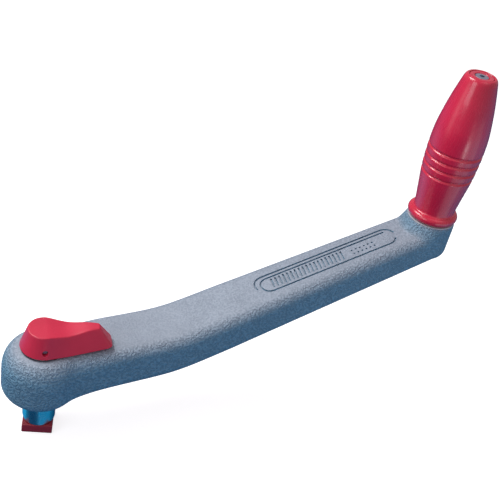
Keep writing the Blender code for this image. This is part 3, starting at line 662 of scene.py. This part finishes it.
def arm_column(x, width, angle, rows=(14, 12, 10, 12, 20)):
    """Points at one station, from the top's spine round the edge to the bottom's spine."""
    top_rows, top_arc, side_rows, bottom_arc, bottom_rows = rows
    top, bottom = arm_top(x), arm_bottom(x)
    nose = nose_share(x)
    edge_in, edge_down = (between(a, b, nose) for a, b in zip(TOP_EDGE, NOSE_TOP_EDGE))
    low_share = nose ** NOSE_BOTTOM_POWER
    low_edge = between(BOTTOM_EDGE_RADIUS, NOSE_BOTTOM_EDGE_RADIUS, low_share)

    def place(out):
        return x + out * math.cos(angle), out * math.sin(angle)

    upper = [((width - edge_in) * i / top_rows, top) for i in range(top_rows)]
    for i in range(top_arc + 1):
        turn = math.pi / 2 * i / top_arc
        out = width - edge_in * (1 - math.sin(turn))
        upper.append((out, top - edge_down * (1 - math.cos(turn))))
    lower = []
    for i in range(bottom_arc + 1):
        turn = math.pi / 2 * i / bottom_arc
        out = width - low_edge * (1 - math.cos(turn))
        lower.append((out, bottom + low_edge * (1 - math.sin(turn))))
    flat = width - low_edge
    lower += [(flat * (1 - i / bottom_rows), bottom) for i in range(1, bottom_rows + 1)]

    points = [(*place(out), raised_top(*place(out), height)) for out, height in upper]
    below = [(*place(out), flared_bottom(*place(out), height)) for out, height in lower]
    wall_x, wall_y, wall_z = points[-1]
    for i in range(1, side_rows):
        height = wall_z + (below[0][2] - wall_z) * (i / side_rows)
        points.append((wall_x, wall_y, height))
    return points + below


def arm_stations(hub_fan=44, end_fan=36):
    """Spine stations, each with its half width and the way its half section faces."""
    stations = []
    for i in range(hub_fan):
        stations.append((0.0, HUB_RADIUS, math.pi - math.pi / 2 * i / hub_fan))
    for start, stop, spacing in ARM_STATIONS:
        for x in spread(start, stop, spacing):
            width = HUB_RADIUS if x == 0.0 else arm_half_width(x)
            stations.append((x, width, math.pi / 2))
    for i in range(end_fan + 1):
        angle = math.pi / 2 - math.pi / 2 * i / end_fan
        stations.append((CENTRES, ARM_END_HALF_WIDTH, angle))
    return stations


def arm_surface():
    maker = mirrored_skin([arm_column(*station) for station in arm_stations()])
    bmesh.ops.remove_doubles(maker, verts=maker.verts, dist=WELD_DISTANCE)
    everything = list(maker.verts) + list(maker.edges) + list(maker.faces)
    bmesh.ops.bisect_plane(maker, geom=everything, plane_co=(0, 0, SHOULDER_Z), plane_no=(0, 0, 1),
                           clear_inner=True)
    rim = [edge for edge in maker.edges if edge.is_boundary]
    bmesh.ops.holes_fill(maker, edges=rim)
    return maker


def strip(x_range, half_width, low, high, end_steps=12):
    """A bar along the arm with half-round ends, between two height functions."""
    start, stop = x_range
    turns = [math.pi / 2 * i / end_steps for i in range(1, end_steps)]
    stations = []
    for turn in turns:
        reach = half_width(start)
        stations.append((start + reach * (1 - math.cos(turn)), reach * math.sin(turn)))
    first = start + half_width(start)
    last = stop - half_width(stop)
    fine, coarse = STRIP_SPACINGS
    middle = spread(first, STRIP_BEND_END, fine) + spread(STRIP_BEND_END, last, coarse) + [last]
    stations += [(x, half_width(x)) for x in middle]
    for turn in reversed(turns):
        reach = half_width(stop)
        stations.append((stop - reach * (1 - math.cos(turn)), reach * math.sin(turn)))
    maker = bmesh.new()
    columns = []
    for x, width in stations:
        corners = ((-width, low(x)), (width, low(x)), (width, high(x)), (-width, high(x)))
        columns.append([maker.verts.new((x, y, z)) for y, z in corners])
    return capped(maker, columns)


def chamber_half_width(x):
    return arm_half_width(x) - CHAMBER_WALL


def ledge_half_width(x):
    return chamber_half_width(x) + COVER_LEDGE


def arm_openings():
    """Cutters for the bores, the chamber and its cover, and the axle's pocket."""
    rebate_x = (CHAMBER_X[0] - COVER_LEDGE, CHAMBER_X[1] + COVER_LEDGE)
    chamber = strip(CHAMBER_X, chamber_half_width,
                    lambda x: arm_bottom(x) - 2 * OVERRUN, lambda x: arm_top(x) - CHAMBER_ROOF)
    rebate = strip(rebate_x, ledge_half_width,
                   lambda x: arm_bottom(x) - 3 * OVERRUN, lambda x: arm_bottom(x) + REBATE_DEPTH)
    neck = plain_rod(NECK_BORE_RADIUS, SHOULDER_Z - OVERRUN, HUB_BORE_BOTTOM - 2 * OVERRUN)
    seat = prism(polygon(HEAD_SEAT_FLATS, HEAD_SIDES), *HEAD_SEAT)
    bore = plain_rod(HUB_BORE_RADIUS, HUB_BORE_BOTTOM, HUB_TOP + 2 * OVERRUN)
    open_end = END_BOSS_TOP + 2 * OVERRUN
    pocket_profile = [(0.0, NUT_POCKET[0])]
    pocket_profile += [(NUT_POCKET_RADIUS, height) for height in NUT_POCKET]
    pocket_profile += [(AXLE_HOLE_RADIUS, NUT_POCKET[1]), (AXLE_HOLE_RADIUS, INSERT_SEAT)]
    pocket_profile += [(INSERT_SEAT_RADIUS, INSERT_SEAT), (INSERT_SEAT_RADIUS, open_end)]
    pocket_profile += [(0.0, open_end)]
    pocket = turned(pocket_profile, (CENTRES, 0.0))
    return [chamber, rebate, neck, seat, bore, pocket]


def arc(centre, radius, start, stop, steps=14):
    """Points round a part of a circle, in degrees."""
    points = []
    for i in range(steps + 1):
        angle = math.radians(start + (stop - start) * i / steps)
        points.append((centre[0] + radius * math.cos(angle), centre[1] + radius * math.sin(angle)))
    return points


def groove(maker, path):
    """Adds a cutter for a groove along a path of points on the panel."""
    low, high = GROOVE_BOTTOM_WIDTH / 2, GROOVE_TOP_WIDTH / 2
    section = ((low, -GROOVE_CUT_DEPTH), (-low, -GROOVE_CUT_DEPTH),
               (-high, GROOVE_CLEAR), (high, GROOVE_CLEAR))
    rings = []
    for i, point in enumerate(path):
        before = Vector(path[max(i - 1, 0)])
        after = Vector(path[min(i + 1, len(path) - 1)])
        along = (after - before).normalized()
        across = Vector((-along.y, along.x))
        ring = []
        for reach, level in section:
            place = Vector(point) + across * reach
            ring.append(maker.verts.new((place.x, place.y, level)))
        rings.append(ring)
    capped(maker, rings)


def panel_pattern():
    """The engraved double outline with a plain pattern of slanted bars and dashes."""
    length = (PANEL_END_X - PANEL_START_X) / math.cos(RISE_ANGLE)
    half = PANEL_HALF_WIDTH
    inner = half - PANEL_LINE_GAP
    inner_top = half - 2 * PANEL_LINE_GAP
    left, right = half, length - half
    maker = bmesh.new()
    start, stop = PANEL_OUTER_ENDS
    groove(maker, arc((left, 0.0), half, start, 90) + arc((right, 0.0), half, 90, stop))

    inside, outside = PANEL_INNER_REACH
    left_arc, right_arc = PANEL_INNER_ARCS
    inner_line = [(right + outside, inner_top), (left + inside, inner_top)]
    inner_line += arc((left + inside, inner_top - inner), inner, *left_arc)
    inner_line += [(right, -half)] + arc((right, -half + inner), inner, *right_arc)
    groove(maker, inner_line)

    low, high = -half + BAR_MARGINS[0], inner_top - BAR_MARGINS[1]
    for i in range(BAR_COUNT):
        place = left + BAR_START + BAR_PITCH * i
        groove(maker, [(place - BAR_SLANT / 2, low), (place + BAR_SLANT / 2, high)])
    for row in DASH_ROWS:
        for i in range(DASH_COUNT):
            place = left + DASH_START + DASH_PITCH * i
            groove(maker, [(place, row - DASH_HALF_HEIGHT),
                           (place + DASH_SLANT, row + DASH_HALF_HEIGHT)])
    rotated(maker, -RISE_ANGLE, "Y")
    return moved(maker, (PANEL_START_X, 0.0, arm_top(PANEL_START_X)))


def build_arm(finishes):
    arm = add_piece("arm_moulding", arm_surface(), finishes["arm_grey"], "arm",
                    ["arm_shell"])
    cut(arm, [panel_pattern()] + arm_openings())
    cover = strip((CHAMBER_X[0] - COVER_LEDGE + GAP, CHAMBER_X[1] + COVER_LEDGE - GAP),
                  lambda x: ledge_half_width(x) - GAP,
                  arm_bottom, lambda x: arm_bottom(x) + COVER_THICKNESS)
    add_piece("underside_cover", cover, finishes["arm_dark"], "arm",
              ["arm_underside_cover"])


# --- Lever ------------------------------------------------------------------

def teardrop(radius, length, tail, arc_steps=40, line_steps=24, corner_steps=10):
    """Half of a teardrop outline, from -X round the hub end and along to the tail."""
    tail_half_width, corner = tail
    run = length - corner
    lean = math.asin((radius - tail_half_width) / run)
    half = []
    for i in range(arc_steps + 1):
        angle = math.pi - (math.pi / 2 + lean) * i / arc_steps
        half.append(Vector((radius * math.cos(angle), radius * math.sin(angle))))
    start = half[-1]
    stop = Vector((run + corner * math.sin(lean), tail_half_width))
    half += [start.lerp(stop, i / line_steps) for i in range(1, line_steps)]
    for i in range(corner_steps + 1):
        angle = (math.pi / 2 - lean) * (1 - i / corner_steps)
        x = run + corner * math.cos(angle)
        half.append(Vector((x, tail_half_width - corner + corner * math.sin(angle))))
    half.append(Vector((length, 0.0)))
    return half


def lever_top_height(x):
    """High over the spindle, scooped for the thumb, and rising again to the tail."""
    share = min(max(x / LEVER_TOP_LENGTH, 0.0), 1.0)
    dip = SCOOP_DEPTH * math.sin(math.pi * min(share * SCOOP_STRETCH, 1.0)) ** 2
    return LEVER_BASE + LEVER_HEIGHT - dip + LEVER_TAIL_RISE * share


def lever_base_height(x):
    run = LEVER_LENGTH - LEVER_BASE_RADIUS
    return LEVER_BASE + LEVER_TAIL_CLEAR * max(x - LEVER_BASE_RADIUS, 0.0) / run


def lever_column(base, edge, inner, side_rows=10, edge_rows=6, top_rows=6):
    """Points from the underside's spine round the side and over to the top's spine."""
    spine_x = min(max(inner.x, 0.0), LEVER_TOP_LENGTH - LEVER_SPINE_INSET)
    floor = lever_base_height(base.x)
    points = [(spine_x, 0.0, lever_base_height(spine_x))]
    foot = base * (1 - LEVER_FOOT_EDGE / base.length)
    points.append((foot.x, foot.y, floor))
    low = Vector((base.x, base.y, floor + LEVER_FOOT_EDGE))
    rim = Vector((edge.x, edge.y, lever_top_height(edge.x)))
    wall = rim - low
    high = rim - wall.normalized() * LEVER_EDGE_RADIUS
    crest = Vector((inner.x, inner.y, lever_top_height(inner.x)))
    points += [tuple(low.lerp(high, i / side_rows)) for i in range(side_rows)]
    for i in range(edge_rows + 1):
        share = i / edge_rows
        point = high.lerp(rim, share).lerp(rim.lerp(crest, share), share)
        points.append(tuple(point))
    for i in range(1, top_rows + 1):
        place = inner.lerp(Vector((spine_x, 0.0)), i / top_rows)
        points.append((place.x, place.y, lever_top_height(place.x)))
    return points


def lever_surface():
    base_tail, edge_tail, inner_tail = LEVER_TAILS
    base = teardrop(LEVER_BASE_RADIUS, LEVER_LENGTH, base_tail)
    edge = teardrop(LEVER_TOP_RADIUS, LEVER_TOP_LENGTH, edge_tail)
    inner = teardrop(LEVER_TOP_RADIUS - LEVER_EDGE_RADIUS,
                     LEVER_TOP_LENGTH - LEVER_EDGE_RADIUS, inner_tail)
    maker = mirrored_skin([lever_column(*points) for points in zip(base, edge, inner)])
    bmesh.ops.remove_doubles(maker, verts=maker.verts, dist=2 * WELD_DISTANCE)
    bmesh.ops.dissolve_degenerate(maker, dist=2 * WELD_DISTANCE, edges=maker.edges)
    return rotated(maker, LEVER_ANGLE, "Z")


def cross_rod(radius, half_length, edge=0.0):
    """A rod across the lever, through its spindle."""
    profile = rod_profile(radius, -half_length, half_length, edge)
    bar = rotated(turned(profile, segments=32), math.pi / 2, "X")
    return rotated(moved(bar, (0.0, 0.0, LEVER_PIN_Z)), LEVER_ANGLE, "Z")


def build_lever(finishes):
    lever = add_piece("lever_moulding", lever_surface(), finishes["lever_red"], "lock",
                      ["lock_lever"])
    socket = plain_rod(LEVER_SOCKET_RADIUS, LEVER_BASE - OVERRUN, LEVER_SOCKET_TOP)
    cut(lever, [socket, cross_rod(LEVER_PIN_RADIUS + GAP / 2, LEVER_LENGTH / 2)])
    pin = cross_rod(LEVER_PIN_RADIUS, LEVER_PIN_HALF_LENGTH, LEVER_PIN_EDGE)
    add_piece("lever_pin", pin, finishes["pin"], "lock", ["lever_cross_pin"])


# --- Drive and plate --------------------------------------------------------

def square_with_round_corners(flats, corner_radius, steps=10):
    """A square whose corners are turned down to a circle, flats facing X and Y."""
    start = math.acos(flats / 2 / corner_radius)
    outline = []
    for quarter in range(4):
        for i in range(steps + 1):
            angle = start + (math.pi / 2 - 2 * start) * i / steps + quarter * math.pi / 2
            outline.append((corner_radius * math.cos(angle), corner_radius * math.sin(angle)))
    return outline


def build_drive(finishes):
    bottom, top = DRIVE_BOX[0].z, DRIVE_BOX[1].z
    outline = square_with_round_corners(DRIVE_FLATS, DRIVE_CORNER_RADIUS)
    square = prism(outline, bottom, DRIVE_NECK_START + 2 * OVERRUN)
    drive = add_piece("drive_square", square, finishes["drive_metal"], "arm", ["drive_shank"])
    neck = plain_rod(DRIVE_NECK_RADIUS, DRIVE_NECK_START, DRIVE_HEAD_BOTTOM + OVERRUN)
    head = prism(polygon(DRIVE_HEAD_FLATS, HEAD_SIDES), DRIVE_HEAD_BOTTOM, top)
    cut(drive, [neck, head], operation="UNION")
    above = top + OVERRUN
    envelope = [(0.0, bottom), *((radius, bottom + rise) for radius, rise in DRIVE_END_ROUNDING)]
    envelope += [(DRIVE_HEAD_FLATS, bottom + DRIVE_END_REACH), (DRIVE_HEAD_FLATS, above)]
    envelope.append((0.0, above))
    cut(drive, [turned(envelope)], operation="INTERSECT")
    wide, narrow = DRIVE_BORE_RADII
    below = bottom - OVERRUN
    profile = [(0.0, below), (wide, below), (wide, DRIVE_BUSH_SEAT_TOP)]
    profile += [(narrow, DRIVE_BUSH_SEAT_TOP), (narrow, above), (0.0, above)]
    cut(drive, [turned(profile)])


def plate_surface(steps=5):
    """The plate, with its upper and lower edges rounded over."""
    outline = square_with_round_corners(PLATE_FLATS, PLATE_CORNER_RADIUS)
    bottom, top = PLATE_BOX[0].z, PLATE_BOX[1].z
    scales = []
    for i in range(steps + 1):
        turn = math.pi / 2 * i / steps
        inset, lift = PLATE_EDGE * (1 - math.sin(turn)), PLATE_EDGE * (1 - math.cos(turn))
        scales.append((lift, 1 - inset / PLATE_CORNER_RADIUS))
    stack = [(bottom + lift, scale) for lift, scale in scales]
    stack += [(top - lift, scale) for lift, scale in reversed(scales)]
    return rotated(stacked_outlines(outline, stack), PLATE_TURN, "Z")


def build_plate(finishes):
    bottom, top = PLATE_BOX[0].z, PLATE_BOX[1].z
    plate = add_piece("locking_plate", plate_surface(), finishes["dark_red"], "lock",
                      ["lock_plate"])
    recess = plain_rod(PLATE_RECESS_RADIUS, bottom - OVERRUN, bottom + PLATE_RECESS_DEPTH)
    eye = prism(polygon(PLATE_EYE_FLATS, 4), bottom + OVERRUN, top + OVERRUN)
    cut(plate, [recess, rotated(eye, LEVER_ANGLE, "Z")])


def build_rings(finishes):
    for node, slot, inner, edge in RINGS:
        low, high = node_box(node)
        outer = (high.x - low.x) / 2
        axis = ((high.x + low.x) / 2, 0.0)
        if inner:
            maker = turned(rounded_ring(inner, outer, low.z, high.z, edge), axis, closed=True)
        else:
            maker = turned(rod_profile(outer, low.z, high.z, edge), axis)
        add_piece(f"fine_{node}", maker, finishes[slot], "arm", [node])


# --- Grip -------------------------------------------------------------------

def grip_radius(height):
    """A smooth curve through the barrel's stations."""
    points = GRIP_STATIONS
    last = len(points) - 1
    for i in range(last):
        (low, start), (high, stop) = points[i], points[i + 1]
        if height <= high or i == last - 1:
            break
    before = points[max(i - 1, 0)]
    after = points[min(i + 2, last)]
    span = high - low
    lead = (stop - before[1]) / (high - before[0]) * span
    trail = (after[1] - start) / (after[0] - low) * span
    share = (height - low) / span
    square, cube = share ** 2, share ** 3
    radius = (2 * cube - 3 * square + 1) * start + (cube - 2 * square + share) * lead
    return radius + (3 * square - 2 * cube) * stop + (cube - square) * trail


def groove_depth(height):
    """A round-bottomed groove with soft lips at each of the groove heights."""
    depth = 0.0
    for middle in GROOVE_HEIGHTS:
        away = abs(height - middle) / (GROOVE_HALF_WIDTH * GROOVE_LIP)
        if away < 1.0:
            depth = GROOVE_DEPTH * (0.5 + 0.5 * math.cos(math.pi * away))
    return depth


def grip_profile():
    bottom, top = GRIP_BOX[0].z, GRIP_BOX[1].z
    profile = [(BUSH_SEAT_RADIUS, bottom), (FLANGE_RADIUS + FLANGE_FOOT_WIDTH, bottom)]
    fillet_out = grip_radius(NECK_START) + NECK_FILLET
    aside = fillet_out - FLANGE_RADIUS
    rise = math.sqrt((FLANGE_ROUNDING + NECK_FILLET) ** 2 - aside ** 2)
    meet = math.degrees(math.atan2(rise, aside))
    flange = (FLANGE_RADIUS, FLANGE_HEIGHT)
    profile += arc(flange, FLANGE_ROUNDING, FLANGE_FOOT_ANGLE, meet, 20)
    profile += arc((fillet_out, FLANGE_HEIGHT + rise), NECK_FILLET, 180 + meet, 180, 10)[1:]
    for height in spread(NECK_START + BARREL_STEP, BARREL_TOP, BARREL_STEP):
        profile.append((grip_radius(height) - groove_depth(height), height))
    shoulder = Vector((grip_radius(BARREL_TOP), BARREL_TOP))
    crest = Vector((CAP_RADIUS + RIM_WIDTH, top))
    bend = Vector((RIM_BEND_RADIUS, top - RIM_BEND_DROP))
    for share in (i / 8 for i in range(9)):
        point = shoulder.lerp(bend, share).lerp(bend.lerp(crest, share), share)
        profile.append(tuple(point))
    edge_width, edge_drop = RIM_INNER_EDGE
    profile += [(CAP_RADIUS + GAP + edge_width, top), (CAP_RADIUS + GAP, top - edge_drop)]
    profile += [(CAP_RADIUS + GAP, CAP_SEAT), (BUSH_SEAT_RADIUS, CAP_SEAT)]
    profile += [(BUSH_SEAT_RADIUS, BUSH_SEATS[1]), (GRIP_BORE_RADIUS, BUSH_SEATS[1])]
    profile += [(GRIP_BORE_RADIUS, BUSH_SEATS[0]), (BUSH_SEAT_RADIUS, BUSH_SEATS[0])]
    return profile


def build_grip(finishes):
    axis = (CENTRES, 0.0)
    grip = turned(grip_profile(), axis, segments=128, closed=True)
    add_piece("grip_barrel", grip, finishes["red_gloss"], "grip", ["grip_body"])
    ring = rounded_ring(SCREW_RADIUS + GAP, CAP_RADIUS, CAP_BOX[0].z, CAP_BOX[1].z, CAP_EDGE)
    add_piece("grip_cap", turned(ring, axis, closed=True), finishes["red_gloss"], "grip",
              ["grip_end_cap"])

    low, top = SCREW_BOX[0].z, SCREW_BOX[1].z
    head = top - SCREW_HEAD_HEIGHT
    profile = [(0.0, low), (SCREW_SHANK_RADIUS, low), (SCREW_SHANK_RADIUS, head)]
    profile.append((SCREW_RADIUS, head))
    profile += [(SCREW_RADIUS - inset, top - drop) for inset, drop in SCREW_EDGE]
    profile.append((0.0, top))
    screw = add_piece("cap_screw", turned(profile, axis, segments=64), finishes["steel"], "arm",
                      ["grip_retaining_screw"])
    hexagon = prism(polygon(SCREW_HEXAGON_FLATS, 6), top - SCREW_HEXAGON_DEPTH, top + OVERRUN)
    cut(screw, [moved(hexagon, (CENTRES, 0.0, 0.0))])


# --- Carried-over CAD nodes -------------------------------------------------

def finish_cad_nodes(finishes):
    slots = {row["node"]: row["material_slot"] for row in frame["record"]["subparts"]}
    for name, node in frame["nodes"].items():
        node.data.materials.clear()
        node.data.materials.append(finishes[slots[name]])


# --- Studio -----------------------------------------------------------------

# Tones of the surround, from straight down at 0 to straight up at 1
SURROUND = ((0.36, (0.0, 0.0, 0.0)), (0.52, (0.60, 0.36, 0.39)), (0.88, (0.33, 0.34, 0.36)))
BLUE_START = (0.05, -0.3)       # heights between which the blue from below sets in
BLUE_TONES = ((0.0, 0.06, 0.145), (0.02, 0.57, 1.03))
# Soft patches of light: azimuth, elevation, tightness and strength. The first two are where the
# blue from below is strongest. The windows show only as reflections.
BLUE_PATCHES = ((-54.8, 0.0, 2.0, 1.0), (125.2, -34.4, 9.0, 0.95))
WINDOWS = ((166.8, -2.0, 60.0, 1.5), (264.8, -19.0, 180.0, 4.2), (-77.0, 61.0, 14.0, 1.3))
WINDOW_COLOUR = (1.0, 0.94, 0.92)
OBJECT_MIDDLE = (120.0, 0.0, 70.0)
ARM_END_UNDERSIDE = (215.0, 0.0, 55.0)
# Lamps: name, place, target, size in metres, power, colour and share in gloss
LAMPS = (
    ("key", (-240.0, 330.0, 760.0), OBJECT_MIDDLE, (0.42, 0.42), 6.2, (1.0, 0.97, 0.95), 1.0),
    ("side", (-560.0, -200.0, 420.0), OBJECT_MIDDLE, (0.42, 0.5), 1.6, (0.95, 0.97, 1.0), 0.0),
    ("fill", (300.0, -230.0, 10.0), ARM_END_UNDERSIDE, (0.25, 0.25), 0.11, (1.0, 0.8, 0.7), 0.0),
)
FLOOR_SIZE = 4000.0
FLOOR_DROP = 0.2                # below the plate
FLOOR_GLOW = 0.78


def view_axes():
    """The camera's right, up and back directions, turned by its roll."""
    turn, lift = CAMERA_AZIMUTH, CAMERA_ELEVATION
    back = Vector((math.sin(turn) * math.cos(lift), -math.cos(turn) * math.cos(lift),
                   math.sin(lift)))
    level = Vector((0.0, 0.0, 1.0)).cross(back).normalized()
    upright = back.cross(level)
    right = math.cos(CAMERA_ROLL) * level + math.sin(CAMERA_ROLL) * upright
    up = -math.sin(CAMERA_ROLL) * level + math.cos(CAMERA_ROLL) * upright
    return right, up, back


def add_camera():
    right, up, back = view_axes()
    data = bpy.data.cameras.new("camera")
    data.lens = CAMERA_LENS
    data.sensor_width = CAMERA_SENSOR
    data.clip_start = CAMERA_CLIP
    camera = bpy.data.objects.new("camera", data)
    bpy.context.scene.collection.objects.link(camera)
    place = Matrix((right, up, back)).transposed().to_4x4()
    place.translation = (CAMERA_TARGET + back * CAMERA_DISTANCE) * MM
    camera.matrix_world = place
    bpy.context.scene.camera = camera


def add_lamp(name, place, target, size, power, colour, gloss):
    data = bpy.data.lights.new(name, "AREA")
    data.shape = "RECTANGLE"
    data.size, data.size_y = size
    data.energy = power
    data.color = colour
    data.specular_factor = gloss
    lamp = bpy.data.objects.new(name, data)
    bpy.context.scene.collection.objects.link(lamp)
    aim = (Vector(target) - Vector(place)).to_track_quat("-Z", "Y")
    lamp.rotation_euler = aim.to_euler()
    lamp.location = Vector(place) * MM


def add_floor():
    maker = bmesh.new()
    bmesh.ops.create_grid(maker, x_segments=1, y_segments=1, size=FLOOR_SIZE)
    moved(maker, (*OBJECT_MIDDLE[:2], PLATE_BOX[0].z - FLOOR_DROP))
    made = Nodes("floor", (0.55, 0.56, 0.57), roughness=0.9)
    made.set("Specular IOR Level", 0.0)
    made.set("Emission Color", (1.0, 1.0, 1.0))
    made.set("Emission Strength", FLOOR_GLOW)
    floor = add_piece("floor", maker, made.material)
    floor.visible_diffuse = False
    floor.visible_glossy = False


class WorldNodes(NodeTree):
    """Short calls for building the surroundings from the direction of view."""

    def __init__(self, name):
        world = bpy.data.worlds.new(name)
        bpy.context.scene.world = world
        world.use_nodes = True
        super().__init__(world.node_tree)
        self.tree.nodes.clear()
        self.direction = self.add("ShaderNodeTexCoord").outputs["Generated"]
        self.path = self.add("ShaderNodeLightPath").outputs

    def towards(self, vector):
        """How far the direction points along a unit vector."""
        node = self.add("ShaderNodeVectorMath", (0, self.direction), (1, vector))
        node.operation = "DOT_PRODUCT"
        return node.outputs["Value"]

    def patches(self, rows):
        """Soft round patches of light, added up."""
        total = 0.0
        for azimuth, elevation, tightness, strength in rows:
            facing = self.math("MAXIMUM", self.towards(unit_vector(azimuth, elevation)), 0.0)
            glow = self.math("MULTIPLY", self.math("POWER", facing, tightness), strength)
            total = self.math("ADD", total, glow)
        return total

    def background(self, colour, strength=1.0):
        node = self.add("ShaderNodeBackground", ("Color", colour), ("Strength", strength))
        return node.outputs["Background"]


def unit_vector(azimuth, elevation):
    turn, lift = math.radians(azimuth), math.radians(elevation)
    return (math.cos(turn) * math.cos(lift), math.sin(turn) * math.cos(lift), math.sin(lift))


def add_world():
    """White to the camera; to the object, pale from above and blue from below."""
    made = WorldNodes("studio")
    height = made.towards((0.0, 0.0, 1.0))
    scaled = made.math("ADD", made.math("MULTIPLY", height, 0.5), 0.5)
    ramp = made.add("ShaderNodeValToRGB", ("Fac", scaled))
    elements = ramp.color_ramp.elements
    elements.new(0.5)
    for element, (level, colour) in zip(elements, SURROUND):
        element.position = level
        element.color = (*colour, 1.0)
    blue = made.blend(made.patches(BLUE_PATCHES), *BLUE_TONES)
    below = made.ramp(height, BLUE_START)
    around = made.background(made.blend(below, ramp.outputs["Color"], blue))
    shine = made.math("MULTIPLY", made.patches(WINDOWS), made.path["Is Glossy Ray"])
    windows = made.background(WINDOW_COLOUR, shine)
    both = made.add("ShaderNodeAddShader", (0, around), (1, windows)).outputs["Shader"]
    white = made.background((1.0, 1.0, 1.0))
    seen = made.path["Is Camera Ray"]
    mix = made.add("ShaderNodeMixShader", ("Fac", seen), (1, both), (2, white))
    made.add("ShaderNodeOutputWorld", ("Surface", mix.outputs["Shader"]))


def add_studio():
    add_camera()
    add_floor()
    add_world()
    for lamp in LAMPS:
        add_lamp(*lamp)
    bpy.context.scene.view_settings.view_transform = "Standard"


def main():
    finishes = make_finishes()
    finish_cad_nodes(finishes)
    add_studio()
    build_arm(finishes)
    build_lever(finishes)
    build_drive(finishes)
    build_plate(finishes)
    build_rings(finishes)
    build_grip(finishes)


main()
